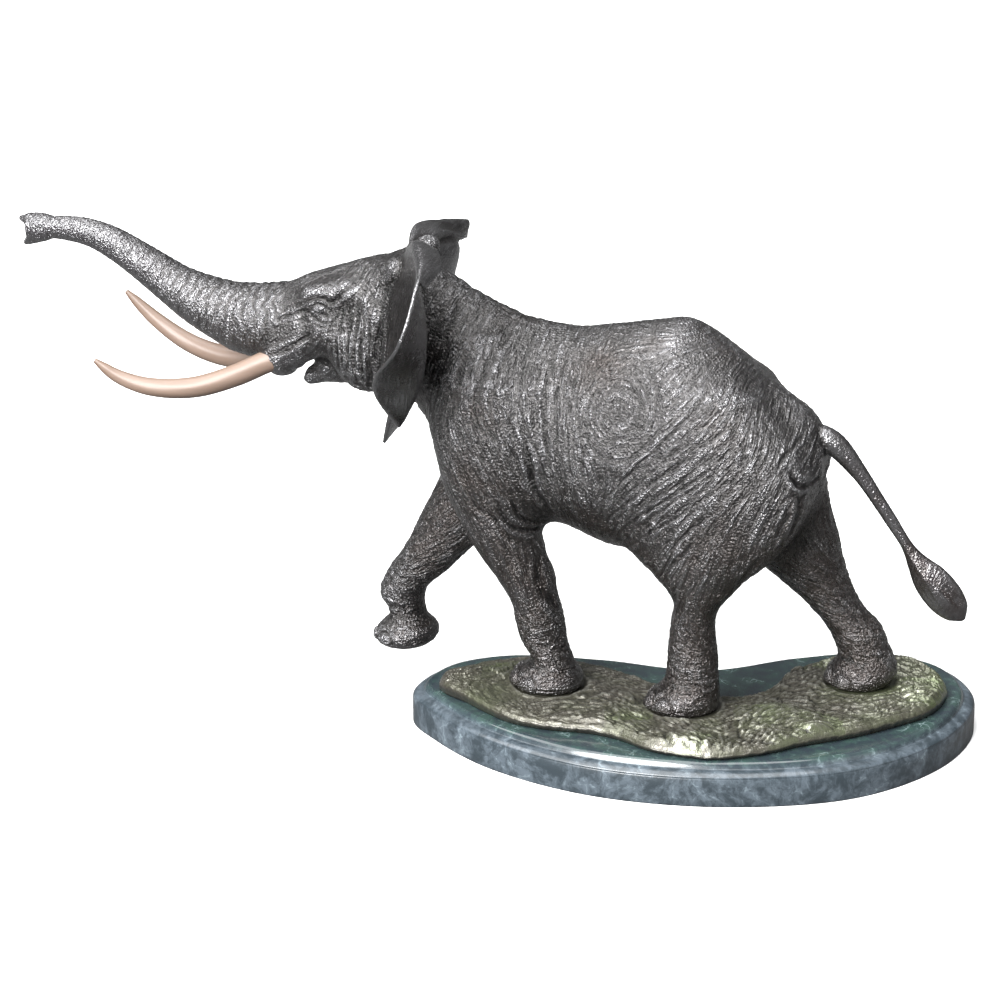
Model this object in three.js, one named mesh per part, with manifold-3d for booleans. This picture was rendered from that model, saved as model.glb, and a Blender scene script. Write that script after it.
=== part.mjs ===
// A bronze African bull elephant, striding with its trunk held out and its right forefoot lifted.
// It stands on a cast patch of grassland, on a kidney-shaped slab of moulded green marble.
// Millimetres, +Z up. The origin is near the middle of the marble's underside, +X along its length.
// The elephant faces -X in its own frame, which is turned a little on the slab.
import * as THREE from "three";
import { mergeVertices } from "three/addons/utils/BufferGeometryUtils.js";
import Module from "manifold-3d";

const wasm = await Module();
wasm.setup();

// ---- driving dimensions -------------------------------------------------------------------
const SLAB_TOP = 30; // height of the marble
const SOLE = 40; // height of the ground under the elephant's feet
const TURN = THREE.MathUtils.degToRad(-15); // the elephant's turn on the slab
const STAND = new THREE.Vector3(6, 22, 0); // where its own origin stands
const GAP = 0.3; // clearance between touching pieces

// ---- numbers along a line of stations -----------------------------------------------------

// Values at t on a smooth curve through rows of [t, value, value, ...].
function along(rows, t) {
  const last = rows.length - 1;
  if (t <= rows[0][0]) return rows[0].slice(1);
  if (t >= rows[last][0]) return rows[last].slice(1);
  let i = 0;
  while (t > rows[i + 1][0]) i++;
  const [before, here, next, after] = [
    rows[Math.max(i - 1, 0)],
    rows[i],
    rows[i + 1],
    rows[Math.min(i + 2, last)],
  ];
  const span = next[0] - here[0];
  const s = (t - here[0]) / span;
  return here.slice(1).map((value, n) => {
    const c = n + 1;
    const leave = ((next[c] - before[c]) / (next[0] - before[0])) * span;
    const reach = ((after[c] - here[c]) / (after[0] - here[0])) * span;
    const rise = next[c] - value;
    return value + s * (leave + s * (3 * rise - 2 * leave - reach + s * (leave + reach - 2 * rise)));
  });
}

// ---- the elephant's form, as a distance field ---------------------------------------------

// The nearer of two distances, with a rounded join of width k.
function blend(a, b, k) {
  const h = Math.max(k - Math.abs(a - b), 0) / k;
  return Math.min(a, b) - h * h * k * 0.25;
}

// Takes away b from a, with a rounded lip of width k.
const carve = (a, b, k) => -blend(-a, b, k);

// Distance from an ellipse with half-axes a and b.
function ellipse(u, v, a, b) {
  const near = Math.hypot(u / a, v / b);
  const slope = Math.hypot(u / (a * a), v / (b * b));
  return slope > 1e-6 ? (near * (near - 1)) / slope : -Math.min(a, b);
}

// Distance from an ellipsoid, turned by `tilt` radians about Y.
function ellipsoid([x, y, z], [cx, cy, cz], [rx, ry, rz], tilt = 0) {
  const [c, s] = [Math.cos(tilt), Math.sin(tilt)];
  const [dx, dz] = [x - cx, z - cz];
  const [u, v, w] = [c * dx + s * dz, y - cy, c * dz - s * dx];
  const near = Math.hypot(u / rx, v / ry, w / rz);
  const slope = Math.hypot(u / (rx * rx), v / (ry * ry), w / (rz * rz));
  return slope > 1e-6 ? (near * (near - 1)) / slope : -Math.min(rx, ry, rz);
}

// Distance from a rod that tapers from radius ra at a to rb at b.
function rod([x, y, z], a, ra, b, rb) {
  const [dx, dy, dz] = [b[0] - a[0], b[1] - a[1], b[2] - a[2]];
  const run = (x - a[0]) * dx + (y - a[1]) * dy + (z - a[2]) * dz;
  const t = Math.min(1, Math.max(0, run / (dx * dx + dy * dy + dz * dz)));
  return Math.hypot(x - a[0] - t * dx, y - a[1] - t * dy, z - a[2] - t * dz) - ra - t * (rb - ra);
}

// A section's distance, and how far the point is past the ends of the run of sections.
const capped = (section, past) =>
  past > 0 && section > 0 ? Math.hypot(section, past) : Math.max(section, past);

// Back and belly: [x, spine height, belly height, half width].
const TORSO = [
  [-222, 344, 246, 34],
  [-190, 332, 208, 43],
  [-165, 319, 178, 50],
  [-140, 309, 166, 55],
  [-115, 305, 162, 59],
  [-95, 304, 157, 62],
  [-65, 309, 146, 65],
  [-40, 314, 147, 66],
  [-18, 317, 142, 65],
  [0, 310, 138, 62],
  [20, 297, 138, 58],
  [40, 278, 142, 52],
  [60, 266, 156, 43],
  [76, 254, 180, 32],
  [88, 235, 204, 18],
];
// Trunk, from its tip to between the eyes: [x, upper side, under side, half width].
const TRUNK = [
  [-531, 356, 330.5, 9.5],
  [-521, 356, 336, 9],
  [-501, 356, 339, 8.5],
  [-477, 356.5, 335.5, 9.5],
  [-457, 352, 326.5, 11.5],
  [-438, 344, 314, 13.5],
  [-418, 334, 299, 16],
  [-399, 324.5, 285, 19],
  [-379, 319, 274, 22],
  [-356, 316, 264, 25.5],
  [-330, 318, 262, 29],
  [-300, 323, 268, 31],
];
// Legs, from the sole up: [z, front, back, middle across, half width].
const LEFT_FORELEG = [
  [40, -135, -84, -31, 24],
  [48, -136, -84, -31, 25],
  [60, -122, -91, -31, 18],
  [76, -130, -96, -31, 18],
  [90, -134, -98, -31, 19],
  [105, -137, -102, -31, 20],
  [124, -150, -106, -31, 22],
  [142, -163, -112, -32, 24],
  [160, -173, -117, -33, 26],
  [180, -183, -118, -34, 27],
  [200, -190, -112, -35, 27],
  [230, -192, -106, -36, 24],
  [265, -180, -110, -35, 16],
];
const RIGHT_FORELEG = [
  [38, -258, -220, 26, 21],
  [45, -262, -214, 26, 25],
  [52, -258, -214, 26, 23],
  [60, -250, -222, 26, 17],
  [67, -252, -224, 27, 16.5],
  [75, -257, -224, 27, 18],
  [84, -257, -221, 27, 19],
  [97, -251, -207, 28, 20],
  [114, -239, -191, 28, 22],
  [138, -227, -167, 30, 25],
  [157, -218, -152, 31, 26],
  [178, -209, -138, 33, 27],
  [200, -200, -124, 34, 27],
  [230, -194, -114, 35, 24],
  [265, -182, -112, 35, 16],
];
const LEFT_HINDLEG = [
  [40, -34, 20, -43, 24],
  [48, -30, 21.5, -43, 25],
  [61, -19, 21, -43, 18.5],
  [76, -17, 20, -43, 17.5],
  [91, -16, 18, -42, 17.5],
  [108, -14, 17, -42, 18.5],
  [119, -13, 21, -42, 20],
  [129, -18, 29, -41, 23],
  [141, -30, 39, -40, 26],
  [155, -42, 54, -39, 29],
  [180, -48, 72, -37, 31],
  [210, -44, 78, -35, 31],
  [240, -34, 66, -33, 26],
  [268, -22, 38, -28, 16],
];
const RIGHT_HINDLEG = [
  [40, 82, 129, 41, 24],
  [49, 84, 134.5, 41, 25],
  [60, 91, 133, 41, 19],
  [70, 89, 128, 41, 18],
  [84, 81, 122, 41, 18],
  [94, 72, 111, 41, 18],
  [106, 60, 103, 40, 19],
  [115, 48, 99, 40, 21],
  [134, 24, 93, 39, 26],
  [150, 2, 89, 38, 29],
  [168, -15, 84, 37, 31],
  [190, -26, 79, 36, 32],
  [220, -28, 74, 35, 30],
  [245, -24, 58, 32, 25],
  [268, -16, 34, 28, 15],
];
const EGG = 0.16; // how much narrower the torso is above than below

function torso([x, y, z]) {
  const [top, bottom, half] = along(TORSO, x);
  const tall = (top - bottom) / 2;
  const up = (z - (top + bottom) / 2) / tall;
  const width = half * (1 - EGG * Math.max(-1, Math.min(1, up)));
  const past = Math.max(TORSO[0][0] - x, x - TORSO[TORSO.length - 1][0]);
  return capped(ellipse(y, up * tall, width, tall), past);
}

function trunk([x, y, z]) {
  const [top, bottom, half] = along(TRUNK, x);
  const tall = (top - bottom) / 2;
  const past = Math.max(TRUNK[0][0] - x, x - TRUNK[TRUNK.length - 1][0]);
  return capped(ellipse(y, z - (top + bottom) / 2, half, tall), past) * 0.9;
}

function leg(rows, [x, y, z]) {
  const [front, back, middle, half] = along(rows, z);
  const past = Math.max(rows[0][0] - z, z - rows[rows.length - 1][0]);
  const deep = (back - front) / 2;
  return capped(ellipse(x - (front + back) / 2, y - middle, deep, half), past);
}

// Skull, cheeks, jaw, lips and the sheaths that the tusks grow from. It is the same on both sides.
function head([x, across, z]) {
  const y = Math.abs(across);
  const p = [x, y, z];
  let d = ellipsoid(p, [-240, 0, 307], [44, 42, 39]);
  d = blend(d, ellipsoid(p, [-270, 0, 301], [43, 35, 30], -0.35), 16); // forehead
  d = blend(d, ellipsoid(p, [-251, 21, 281], [27, 22, 32], 0.2), 12); // cheek
  d = blend(d, rod(p, [-244, 0, 267], 22, [-284, 0, 261], 12), 12); // lower jaw
  d = blend(d, rod(p, [-280, 0, 258.5], 11, [-301, 0, 250], 7), 5); // lower lip
  d = blend(d, rod(p, [-282, 20, 293], 15, [-318, 20, 269], 12.5), 12); // tusk sheath
  d = blend(d, rod(p, [-311, 15, 263], 8, [-318, 17, 262], 8), 7); // flesh below the tusk
  d = blend(d, rod(p, [-262, 30, 323], 8, [-290, 27, 316], 7), 10); // brow
  d = carve(d, ellipsoid(p, [-262, 47, 311], [14, 9, 16]), 10); // temple
  return blend(d, ellipsoid(p, [-283, 33, 312], [8, 6, 6]), 3); // eye
}

// The whole animal without ears, tail and tusks.
function beast(p) {
  const [x, y, z] = p;
  const mirrored = [x, Math.abs(y), z];
  let d = torso(p);
  d = blend(d, ellipsoid(mirrored, [-152, 34, 244], [34, 24, 56], 0.25), 18); // shoulders
  d = blend(d, ellipsoid(mirrored, [0, 30, 242], [43, 29, 45], 0.5), 18); // haunches
  for (const rows of [LEFT_FORELEG, RIGHT_FORELEG, LEFT_HINDLEG, RIGHT_HINDLEG])
    d = blend(d, leg(rows, p), 20);
  d = blend(d, head(p), 20);
  return blend(d, trunk(p), 10);
}

// ---- from fields and curves to meshes -----------------------------------------------------

function geometry(points, triangles) {
  return new THREE.BufferGeometry()
    .setAttribute("position", new THREE.Float32BufferAttribute(points.flat(), 3))
    .setIndex(triangles.flat());
}

// Grid lines from the first stop to the last; each stop is [where it starts, spacing up to the next].
function gridLines(stops) {
  const lines = [];
  stops.slice(0, -1).forEach(([from, spacing], n) => {
    const to = stops[n + 1][0];
    const count = Math.round((to - from) / spacing);
    for (let i = 0; i < count; i++) lines.push(from + ((to - from) * i) / count);
  });
  return [...lines, stops[stops.length - 1][0]];
}

// Moves a point onto the field's surface, along the field's slope.
function settle(field, point, reach) {
  const step = 0.4;
  const start = [...point];
  for (let n = 0; n < 3; n++) {
    const d = field(point);
    const slope = [0, 1, 2].map((axis) => {
      const ahead = [...point];
      ahead[axis] += step;
      return (field(ahead) - d) / step;
    });
    const size = Math.max(0.3, slope[0] ** 2 + slope[1] ** 2 + slope[2] ** 2);
    point = point.map((value, axis) => {
      const moved = value - (d * slope[axis]) / size;
      return Math.min(start[axis] + reach, Math.max(start[axis] - reach, moved));
    });
  }
  return point;
}

// Surface nets: one vertex in each grid cell that the surface crosses, one quad across each
// grid line that it cuts.
function skin(field, xs, ys, zs) {
  const [nx, ny, nz] = [xs.length, ys.length, zs.length];
  const index = (i, j, k) => i + nx * (j + ny * k);
  const value = new Float64Array(nx * ny * nz);
  for (let k = 0; k < nz; k++)
    for (let j = 0; j < ny; j++)
      for (let i = 0; i < nx; i++) value[index(i, j, k)] = field([xs[i], ys[j], zs[k]]);

  // Where a cell's face has the same sign at opposite corners only, the weakest corner changes sides.
  const strides = [1, nx, nx * ny];
  const ends = [nx - 1, ny - 1, nz - 1];
  for (let changed = true; changed; ) {
    changed = false;
    for (let q = 0; q < 3; q++) {
      const [u, v] = [(q + 1) % 3, (q + 2) % 3];
      for (let k = 0; k < nz; k++)
        for (let j = 0; j < ny; j++)
          for (let i = 0; i < nx; i++) {
            const cell = [i, j, k];
            if (cell[u] === ends[u] || cell[v] === ends[v]) continue;
            const at = index(i, j, k);
            const face = [at, at + strides[u], at + strides[u] + strides[v], at + strides[v]];
            const [a, b, c, d] = face.map((n) => value[n] < 0);
            if (a !== c || b !== d || a === b) continue;
            const weakest = face.reduce((m, n) => (Math.abs(value[n]) < Math.abs(value[m]) ? n : m));
            value[weakest] *= -1;
            changed = true;
          }
    }
  }

  const corners = [0, 1, 2, 3, 4, 5, 6, 7].map((n) => [n & 1, (n >> 1) & 1, n >> 2]);
  const edges = corners.flatMap((a, m) =>
    corners
      .map((b, n) => [m, n])
      .filter(([, n]) => n > m && corners[n].reduce((s, c, q) => s + Math.abs(c - a[q]), 0) === 1),
  );
  const points = [];
  const vertex = new Int32Array(nx * ny * nz).fill(-1);
  for (let k = 0; k < nz - 1; k++)
    for (let j = 0; j < ny - 1; j++)
      for (let i = 0; i < nx - 1; i++) {
        const values = corners.map(([a, b, c]) => value[index(i + a, j + b, k + c)]);
        const cuts = edges.filter(([m, n]) => values[m] < 0 !== values[n] < 0);
        if (!cuts.length) continue;
        const sum = [0, 0, 0];
        for (const [m, n] of cuts) {
          const t = values[m] / (values[m] - values[n]);
          const line = [xs, ys, zs];
          const cell = [i, j, k];
          for (let q = 0; q < 3; q++) {
            const from = line[q][cell[q] + corners[m][q]];
            const to = line[q][cell[q] + corners[n][q]];
            sum[q] += (from + t * (to - from)) / cuts.length;
          }
        }
        vertex[index(i, j, k)] = points.length;
        points.push(sum);
      }

  const triangles = [];
  for (let k = 1; k < nz - 1; k++)
    for (let j = 1; j < ny - 1; j++)
      for (let i = 1; i < nx - 1; i++) {
        const at = index(i, j, k);
        for (let q = 0; q < 3; q++) {
          const inside = value[at] < 0;
          if (inside === value[at + strides[q]] < 0) continue;
          const [u, v] = [strides[(q + 1) % 3], strides[(q + 2) % 3]];
          const quad = [at, at - u, at - u - v, at - v].map((n) => vertex[n]);
          if (!inside) quad.reverse();
          triangles.push([quad[0], quad[1], quad[2]], [quad[0], quad[2], quad[3]]);
        }
      }
  const reach = 0.5 * Math.min(xs[1] - xs[0], ys[1] - ys[0]);
  return geometry(points.map((point) => settle(field, point, reach)), triangles);
}

// A closed mesh made of rings of points, each ring as long as the next, with a tip at each end.
function ringed(first, rings, last) {
  const n = rings[0].length;
  const points = [first, ...rings.flat(), last];
  const triangles = [];
  for (let i = 0; i < n; i++) {
    const j = (i + 1) % n;
    triangles.push([0, 1 + j, 1 + i]);
    for (let r = 0; r < rings.length - 1; r++) {
      const [a, b] = [1 + r * n, 1 + (r + 1) * n];
      triangles.push([a + i, a + j, b + j], [a + i, b + j, b + i]);
    }
    const end = 1 + (rings.length - 1) * n;
    triangles.push([end + i, end + j, points.length - 1]);
  }
  return geometry(points, triangles);
}

// A round bar that follows a curve. `girth(t)` is [half across, half in the curve's own plane].
function bar(curve, girth, steps, sides) {
  const rings = [];
  for (let s = 0; s <= steps; s++) {
    const t = s / steps;
    const centre = curve.getPointAt(t);
    const ahead = curve.getTangentAt(t);
    const across = new THREE.Vector3(0, 1, 0).addScaledVector(ahead, -ahead.y).normalize();
    const up = new THREE.Vector3().crossVectors(ahead, across);
    const [wide, thick] = girth(t);
    rings.push(
      Array.from({ length: sides }, (_, i) => {
        const angle = (2 * Math.PI * i) / sides;
        return centre
          .clone()
          .addScaledVector(across, wide * Math.cos(angle))
          .addScaledVector(up, thick * Math.sin(angle))
          .toArray();
      }),
    );
  }
  return ringed(curve.getPointAt(0).toArray(), rings, curve.getPointAt(1).toArray());
}

const curveThrough = (points) => new THREE.CatmullRomCurve3(points.map((p) => new THREE.Vector3(...p)));

function solid(shape) {
  const bare = shape.clone();
  bare.deleteAttribute("normal");
  bare.deleteAttribute("uv");
  const merged = mergeVertices(bare, 1e-4);
  return new wasm.Manifold(
    new wasm.Mesh({
      numProp: 3,
      vertProperties: new Float32Array(merged.attributes.position.array),
      triVerts: new Uint32Array(merged.index.array),
    }),
  );
}

function shapeOf(made) {
  const mesh = made.getMesh();
  return new THREE.BufferGeometry()
    .setAttribute("position", new THREE.BufferAttribute(new Float32Array(mesh.vertProperties), 3))
    .setIndex(new THREE.BufferAttribute(new Uint32Array(mesh.triVerts), 1));
}

// ---- ears ---------------------------------------------------------------------------------

const EAR_THICK = 5;
// Ribs of an ear, from the free edge of its folded top down to its lobe. Each rib runs out from the
// head: [where it leaves the head, two points on the way, rim].
const LEFT_EAR = [
  [[-208, -26, 357], [-184, -56, 363], [-171, -82, 355], [-177, -108, 350]],
  [[-212, -24, 363], [-200, -56, 371], [-187, -86, 368], [-179, -114, 360]],
  [[-224, -26, 343], [-202, -60, 352], [-187, -92, 350], [-181, -126, 345]],
  [[-236, -29, 325], [-202, -60, 327], [-185, -90, 326], [-186, -134, 325]],
  [[-242, -30, 305], [-204, -60, 304], [-185, -88, 303], [-197, -130, 306]],
  [[-244, -30, 285], [-208, -58, 283], [-189, -84, 281], [-212, -114, 290]],
  [[-242, -28, 268], [-214, -54, 262], [-199, -76, 259], [-217, -100, 271]],
  [[-236, -32, 260], [-219, -51, 249], [-209, -64, 244], [-207, -74, 241]],
];
const RIGHT_EAR = [
  [[-228, 24, 340], [-222, 64, 347], [-215, 94, 337], [-216, 116, 332]],
  [[-232, 24, 345], [-238, 58, 353], [-230, 90, 350], [-218, 121, 344]],
  [[-230, 26, 334], [-219, 60, 336], [-215, 82, 332], [-237, 128, 328]],
  [[-240, 28, 318], [-218, 56, 318], [-217, 80, 313], [-243, 132, 304]],
  [[-246, 28, 301], [-221, 56, 298], [-221, 80, 290], [-247, 128, 276]],
  [[-248, 28, 285], [-228, 54, 276], [-229, 77, 261], [-256, 116, 238]],
  [[-247, 27, 270], [-238, 51, 249], [-243, 73, 226], [-263, 104, 192]],
  [[-244, 28, 260], [-251, 48, 230], [-263, 62, 204], [-273, 80, 175]],
];

// An ear as a closed sheet, thinner at its rim.
function ear(ribs) {
  const [steps, across] = [14, 5];
  const lines = [0, 1, 2, 3].map((n) => curveThrough(ribs.map((rib) => rib[n])));
  const rib = (u) => curveThrough(lines.map((line) => line.getPoint(u).toArray()));
  const rings = [];
  for (let i = 0; i <= steps; i++) {
    const [here, next, before] = [i, i + 0.2, i - 0.2].map((n) =>
      rib(Math.min(1, Math.max(0, n / steps))),
    );
    const faces = [[], []];
    for (let j = 0; j <= across; j++) {
      const v = j / across;
      const centre = here.getPoint(v);
      const down = next.getPoint(v).sub(before.getPoint(v));
      const normal = here.getTangent(v).cross(down).normalize();
      const half = (EAR_THICK / 2) * (1 - 0.45 * v ** 4);
      faces[0].push(centre.clone().addScaledVector(normal, half).toArray());
      faces[1].push(centre.clone().addScaledVector(normal, -half).toArray());
    }
    rings.push([...faces[0], ...faces[1].reverse()]);
  }
  const middle = (ring) => [0, 1, 2].map((q) => ring.reduce((sum, p) => sum + p[q] / ring.length, 0));
  return ringed(middle(rings[0]), rings, middle(rings[steps]));
}

// ---- tail and tusks -----------------------------------------------------------------------

const TAIL_LINE = curveThrough([
  [70, 0, 240],
  [89, 0, 235],
  [108, 0, 216],
  [125, 0, 193],
  [143, 0, 167],
  [153, 0, 152],
  [168, 0, 134],
  [188, 0, 112],
]);
// [share of the tail's length, half across, half in the tail's plane]
const TAIL_GIRTH = [
  [0, 10, 10],
  [0.12, 8.5, 8.5],
  [0.3, 5.2, 5.4],
  [0.5, 4.2, 4.4],
  [0.63, 3.8, 4.4],
  [0.7, 5, 7.5],
  [0.78, 7, 12.5],
  [0.88, 7, 13.5],
  [0.96, 4.5, 9],
  [1, 1, 2],
];
const tail = bar(TAIL_LINE, (t) => along(TAIL_GIRTH, t), 18, 10);

const LEFT_TUSK_LINE = curveThrough([
  [-308, -22, 273],
  [-328, -25, 264.5],
  [-350, -30, 254],
  [-380, -37, 244.5],
  [-412, -42, 243.5],
  [-436, -44, 250],
  [-454, -45, 261],
]);
const RIGHT_TUSK_LINE = curveThrough([
  [-308, 22, 273],
  [-328, 25, 262],
  [-352, 28, 251.5],
  [-382, 33, 248.5],
  [-412, 38, 254.5],
  [-440, 42, 269],
  [-466, 45, 289],
]);
// [share of the tusk's length, radius]
const TUSK_GIRTH = [
  [0, 8.4],
  [0.3, 8.2],
  [0.55, 7.6],
  [0.8, 5.9],
  [0.93, 4],
  [1, 1.8],
];
const tusk = (line, extra = 0) =>
  bar(line, (t) => along(TUSK_GIRTH, t).flatMap((r) => [r + extra, r + extra]), 14, 10);

// ---- the elephant in one piece ------------------------------------------------------------

const body = skin(
  beast,
  gridLines([[-546, 10], [-335, 8], [-275, 11], [-200, 18], [70, 10], [144, 0]]),
  gridLines([[-90, 14], [-51, 9], [51, 14], [90, 0]]),
  gridLines([[25, 10], [120, 15], [238, 8], [274, 10.5], [364, 0]]),
);
const elephant = solid(body)
  .add(solid(ear(LEFT_EAR)))
  .add(solid(ear(RIGHT_EAR)))
  .add(solid(tail))
  .subtract(solid(tusk(LEFT_TUSK_LINE, GAP)))
  .subtract(solid(tusk(RIGHT_TUSK_LINE, GAP)));

// ---- ground and marble --------------------------------------------------------------------

// The patch of ground, from end to end: [x, front edge, back edge, height of the rim].
const GROUND = [
  [-188, 27, 35, 37],
  [-183, 18, 45, 40],
  [-168, 3, 57, 39.5],
  [-155, -13, 69, 38.5],
  [-136, -33, 77, 37.5],
  [-109, -46, 80, 37],
  [-76, -53, 70, 36.5],
  [-55, -64, 53, 36],
  [-35, -82, 35, 35.5],
  [-8, -93, 18, 35],
  [12, -96, 8, 35],
  [35, -90, 11, 35.5],
  [55, -81, 25, 36],
  [68, -73, 49, 37],
  [80, -67, 67, 37],
  [94, -61, 80, 37],
  [118, -49, 93, 37.5],
  [146, -30, 92, 38],
  [165, -15, 82, 38],
  [177, 4, 62, 38],
  [184, 24, 42, 37],
];
// Swells and rocks of the ground: [x, y, reach along x, reach along y, height].
const SWELLS = [
  [-165, 35, 22, 18, 3.4],
  [-58, 22, 30, 22, 2.6],
  [-76, -36, 20, 10, 2],
  [-4, -82, 20, 9, 3.8],
  [24, -62, 18, 14, -2.4],
  [60, -32, 24, 16, 4],
  [84, -58, 12, 8, 2.8],
  [112, -44, 10, 7, 3],
  [84, 30, 14, 22, 3],
  [162, 18, 14, 24, 4.2],
  [150, 72, 18, 14, 3.4],
];
const PAD = 30; // radius of the level ground under a foot

const level = SOLE - GAP;
const soles = [
  [-108, -31],
  [-4, -43],
  [108, 41],
].map(([x, y]) => new THREE.Vector3(x, y, 0).applyAxisAngle(new THREE.Vector3(0, 0, 1), TURN).add(STAND));

function groundHeight(x, y) {
  let z = 39.4 + 0.5 * Math.sin(x / 17 + y / 23) + 0.4 * Math.sin(y / 9 - x / 31);
  for (const [cx, cy, rx, ry, rise] of SWELLS)
    z += rise * Math.exp(-(((x - cx) / rx) ** 2) - ((y - cy) / ry) ** 2);
  for (const sole of soles) {
    const away = Math.hypot(x - sole.x, y - sole.y) - PAD;
    const share = Math.min(1, Math.max(0, away / 10));
    z = level + (z - level) * share;
  }
  return z;
}

function ground() {
  const [steps, across] = [40, 10];
  const [left, right] = [GROUND[0][0], GROUND[GROUND.length - 1][0]];
  const rings = [];
  for (let i = 0; i <= steps; i++) {
    const x = (left + right) / 2 - ((right - left) / 2) * Math.cos((Math.PI * i) / steps);
    const [front, back, rim] = along(GROUND, x);
    const top = Array.from({ length: across + 1 }, (_, j) => {
      const v = (1 - Math.cos((Math.PI * j) / across)) / 2;
      const y = front + (back - front) * v;
      const edge = Math.min(y - front, back - y, x - left, right - x);
      const share = Math.min(1, edge / 14);
      const z = Math.max(rim - 1.5, rim + (groundHeight(x, y) - rim) * share);
      return [x, y, edge < 0.01 ? rim - 1.5 : z];
    });
    const floor = SLAB_TOP + GAP;
    const under = [front + 0.5, (front + back) / 2, back - 0.5].map((y) => [x, y, floor]);
    rings.push([...top.reverse(), ...under]);
  }
  const end = (ring) => [ring[0][0], (ring[0][1] + ring[across][1]) / 2, SLAB_TOP + 4];
  return ringed(end(rings[0]), rings, end(rings[steps]));
}

// Outline of the marble, anticlockwise from its right end.
const KIDNEY = new THREE.CatmullRomCurve3(
  [
    [207, 44],
    [190, 100],
    [140, 127],
    [74, 114],
    [8, 88],
    [-66, 106],
    [-140, 113],
    [-188, 90],
    [-209, 44],
    [-190, 4],
    [-146, -48],
    [-72, -92],
    [20, -107],
    [112, -88],
    [180, -28],
  ].map(([x, y]) => new THREE.Vector3(x, y, 0)),
  true,
);
// The marble's moulded edge: [inset, height].
const EDGE = [
  [0, 0],
  [0, 21],
  [1.2, 23],
  [4, 24.6],
  [8, 25.4],
  [9.2, 27],
  [10.4, 28.8],
  [13, 30],
];

function slab() {
  const sides = 50;
  const rings = EDGE.map(([inset, z]) =>
    Array.from({ length: sides }, (_, i) => {
      const centre = KIDNEY.getPointAt(i / sides);
      const ahead = KIDNEY.getTangentAt(i / sides);
      return [centre.x - inset * ahead.y, centre.y + inset * ahead.x, z];
    }),
  );
  return ringed([0, 0, 0], rings, [0, 0, SLAB_TOP]);
}

const materials = {
  bronze: new THREE.MeshStandardMaterial({ color: 0x3b3532, roughness: 0.42, metalness: 0.9 }),
  ground: new THREE.MeshStandardMaterial({ color: 0x4c5040, roughness: 0.5, metalness: 0.7 }),
  ivory: new THREE.MeshStandardMaterial({ color: 0xcdb096, roughness: 0.45, metalness: 0 }),
  marble: new THREE.MeshStandardMaterial({ color: 0x4a646a, roughness: 0.25, metalness: 0 }),
};

function piece(name, shape, material) {
  const mesh = new THREE.Mesh(shape, material);
  mesh.name = name;
  return mesh;
}

const animal = new THREE.Group();
animal.rotation.z = TURN;
animal.position.copy(STAND);
animal.add(
  piece("elephant", shapeOf(elephant), materials.bronze),
  piece("left_tusk", tusk(LEFT_TUSK_LINE), materials.ivory),
  piece("right_tusk", tusk(RIGHT_TUSK_LINE), materials.ivory),
);

const sculpture = new THREE.Group();
sculpture.add(
  animal,
  piece("ground", ground(), materials.ground),
  piece("marble_base", slab(), materials.marble),
);

export default sculpture;
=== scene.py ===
"""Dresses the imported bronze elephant: finely modelled skin, ears, tail and tusks on a cast patch of
grassland and a moulded slab of green marble. Shapes are in millimetres until they become objects."""
import math

import bpy
import numpy as np
from mathutils import Matrix, Vector


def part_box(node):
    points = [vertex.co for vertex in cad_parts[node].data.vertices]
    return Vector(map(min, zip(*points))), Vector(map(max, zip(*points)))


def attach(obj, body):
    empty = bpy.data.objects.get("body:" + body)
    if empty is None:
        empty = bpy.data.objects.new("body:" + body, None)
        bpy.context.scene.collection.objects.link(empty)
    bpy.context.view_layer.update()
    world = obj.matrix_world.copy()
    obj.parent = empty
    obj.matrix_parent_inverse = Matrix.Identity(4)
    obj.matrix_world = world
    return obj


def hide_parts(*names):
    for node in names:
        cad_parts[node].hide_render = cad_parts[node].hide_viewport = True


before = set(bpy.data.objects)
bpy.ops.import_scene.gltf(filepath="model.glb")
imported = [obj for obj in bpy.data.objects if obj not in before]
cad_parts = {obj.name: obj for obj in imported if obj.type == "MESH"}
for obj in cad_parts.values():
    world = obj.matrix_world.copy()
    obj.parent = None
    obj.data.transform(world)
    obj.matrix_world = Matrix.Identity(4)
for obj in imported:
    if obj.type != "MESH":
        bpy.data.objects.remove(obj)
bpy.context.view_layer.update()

bl_info = {
    "name": "Bronze Elephant Sculpture",
    "version": (1, 0, 0),
    "blender": (4, 5, 0),
    "location": "3D View > Sidebar > Elephant",
    "description": "Builds a bronze elephant with its ground and marble base around a packed CAD frame",
    "category": "Object",
}

MM = 0.001

# ---- where things stand, in millimetres ---------------------------------------------------
SLAB_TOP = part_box("marble_base")[1].z / MM
SOLE = 40.0  # height of the ground under the feet
TURN = math.radians(-15)  # the elephant's turn on the slab
STAND = np.array([6.0, 22.0, 0.0])  # where its own origin stands
GAP = 0.3  # clearance between touching pieces
SLAB_INSIDE = 0.3  # how far the slab's edge keeps inside its solid
SKIN_TRIANGLES = 195000
TUSK_STEPS, TUSK_SIDES = 140, 48
# The camera: its lens, and how far left and up it stands, as shares of its distance.
LENS, CAMERA_LEFT, CAMERA_RAISED = 118.4, 0.0593, 0.0751

# Back and belly: x, spine height, belly height, half width.
TORSO = [
    (-222, 344, 246, 34), (-190, 332, 208, 43), (-165, 319, 178, 50), (-140, 309, 166, 55),
    (-115, 305, 162, 59), (-95, 304, 157, 62), (-65, 309, 146, 65), (-40, 314, 147, 66),
    (-18, 317, 142, 65), (0, 310, 138, 62), (20, 297, 138, 58), (40, 278, 142, 52),
    (60, 266, 156, 43), (75, 254, 182, 32), (85, 236, 208, 18),
]
EGG = 0.16  # how much narrower the torso is above than below
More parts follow.
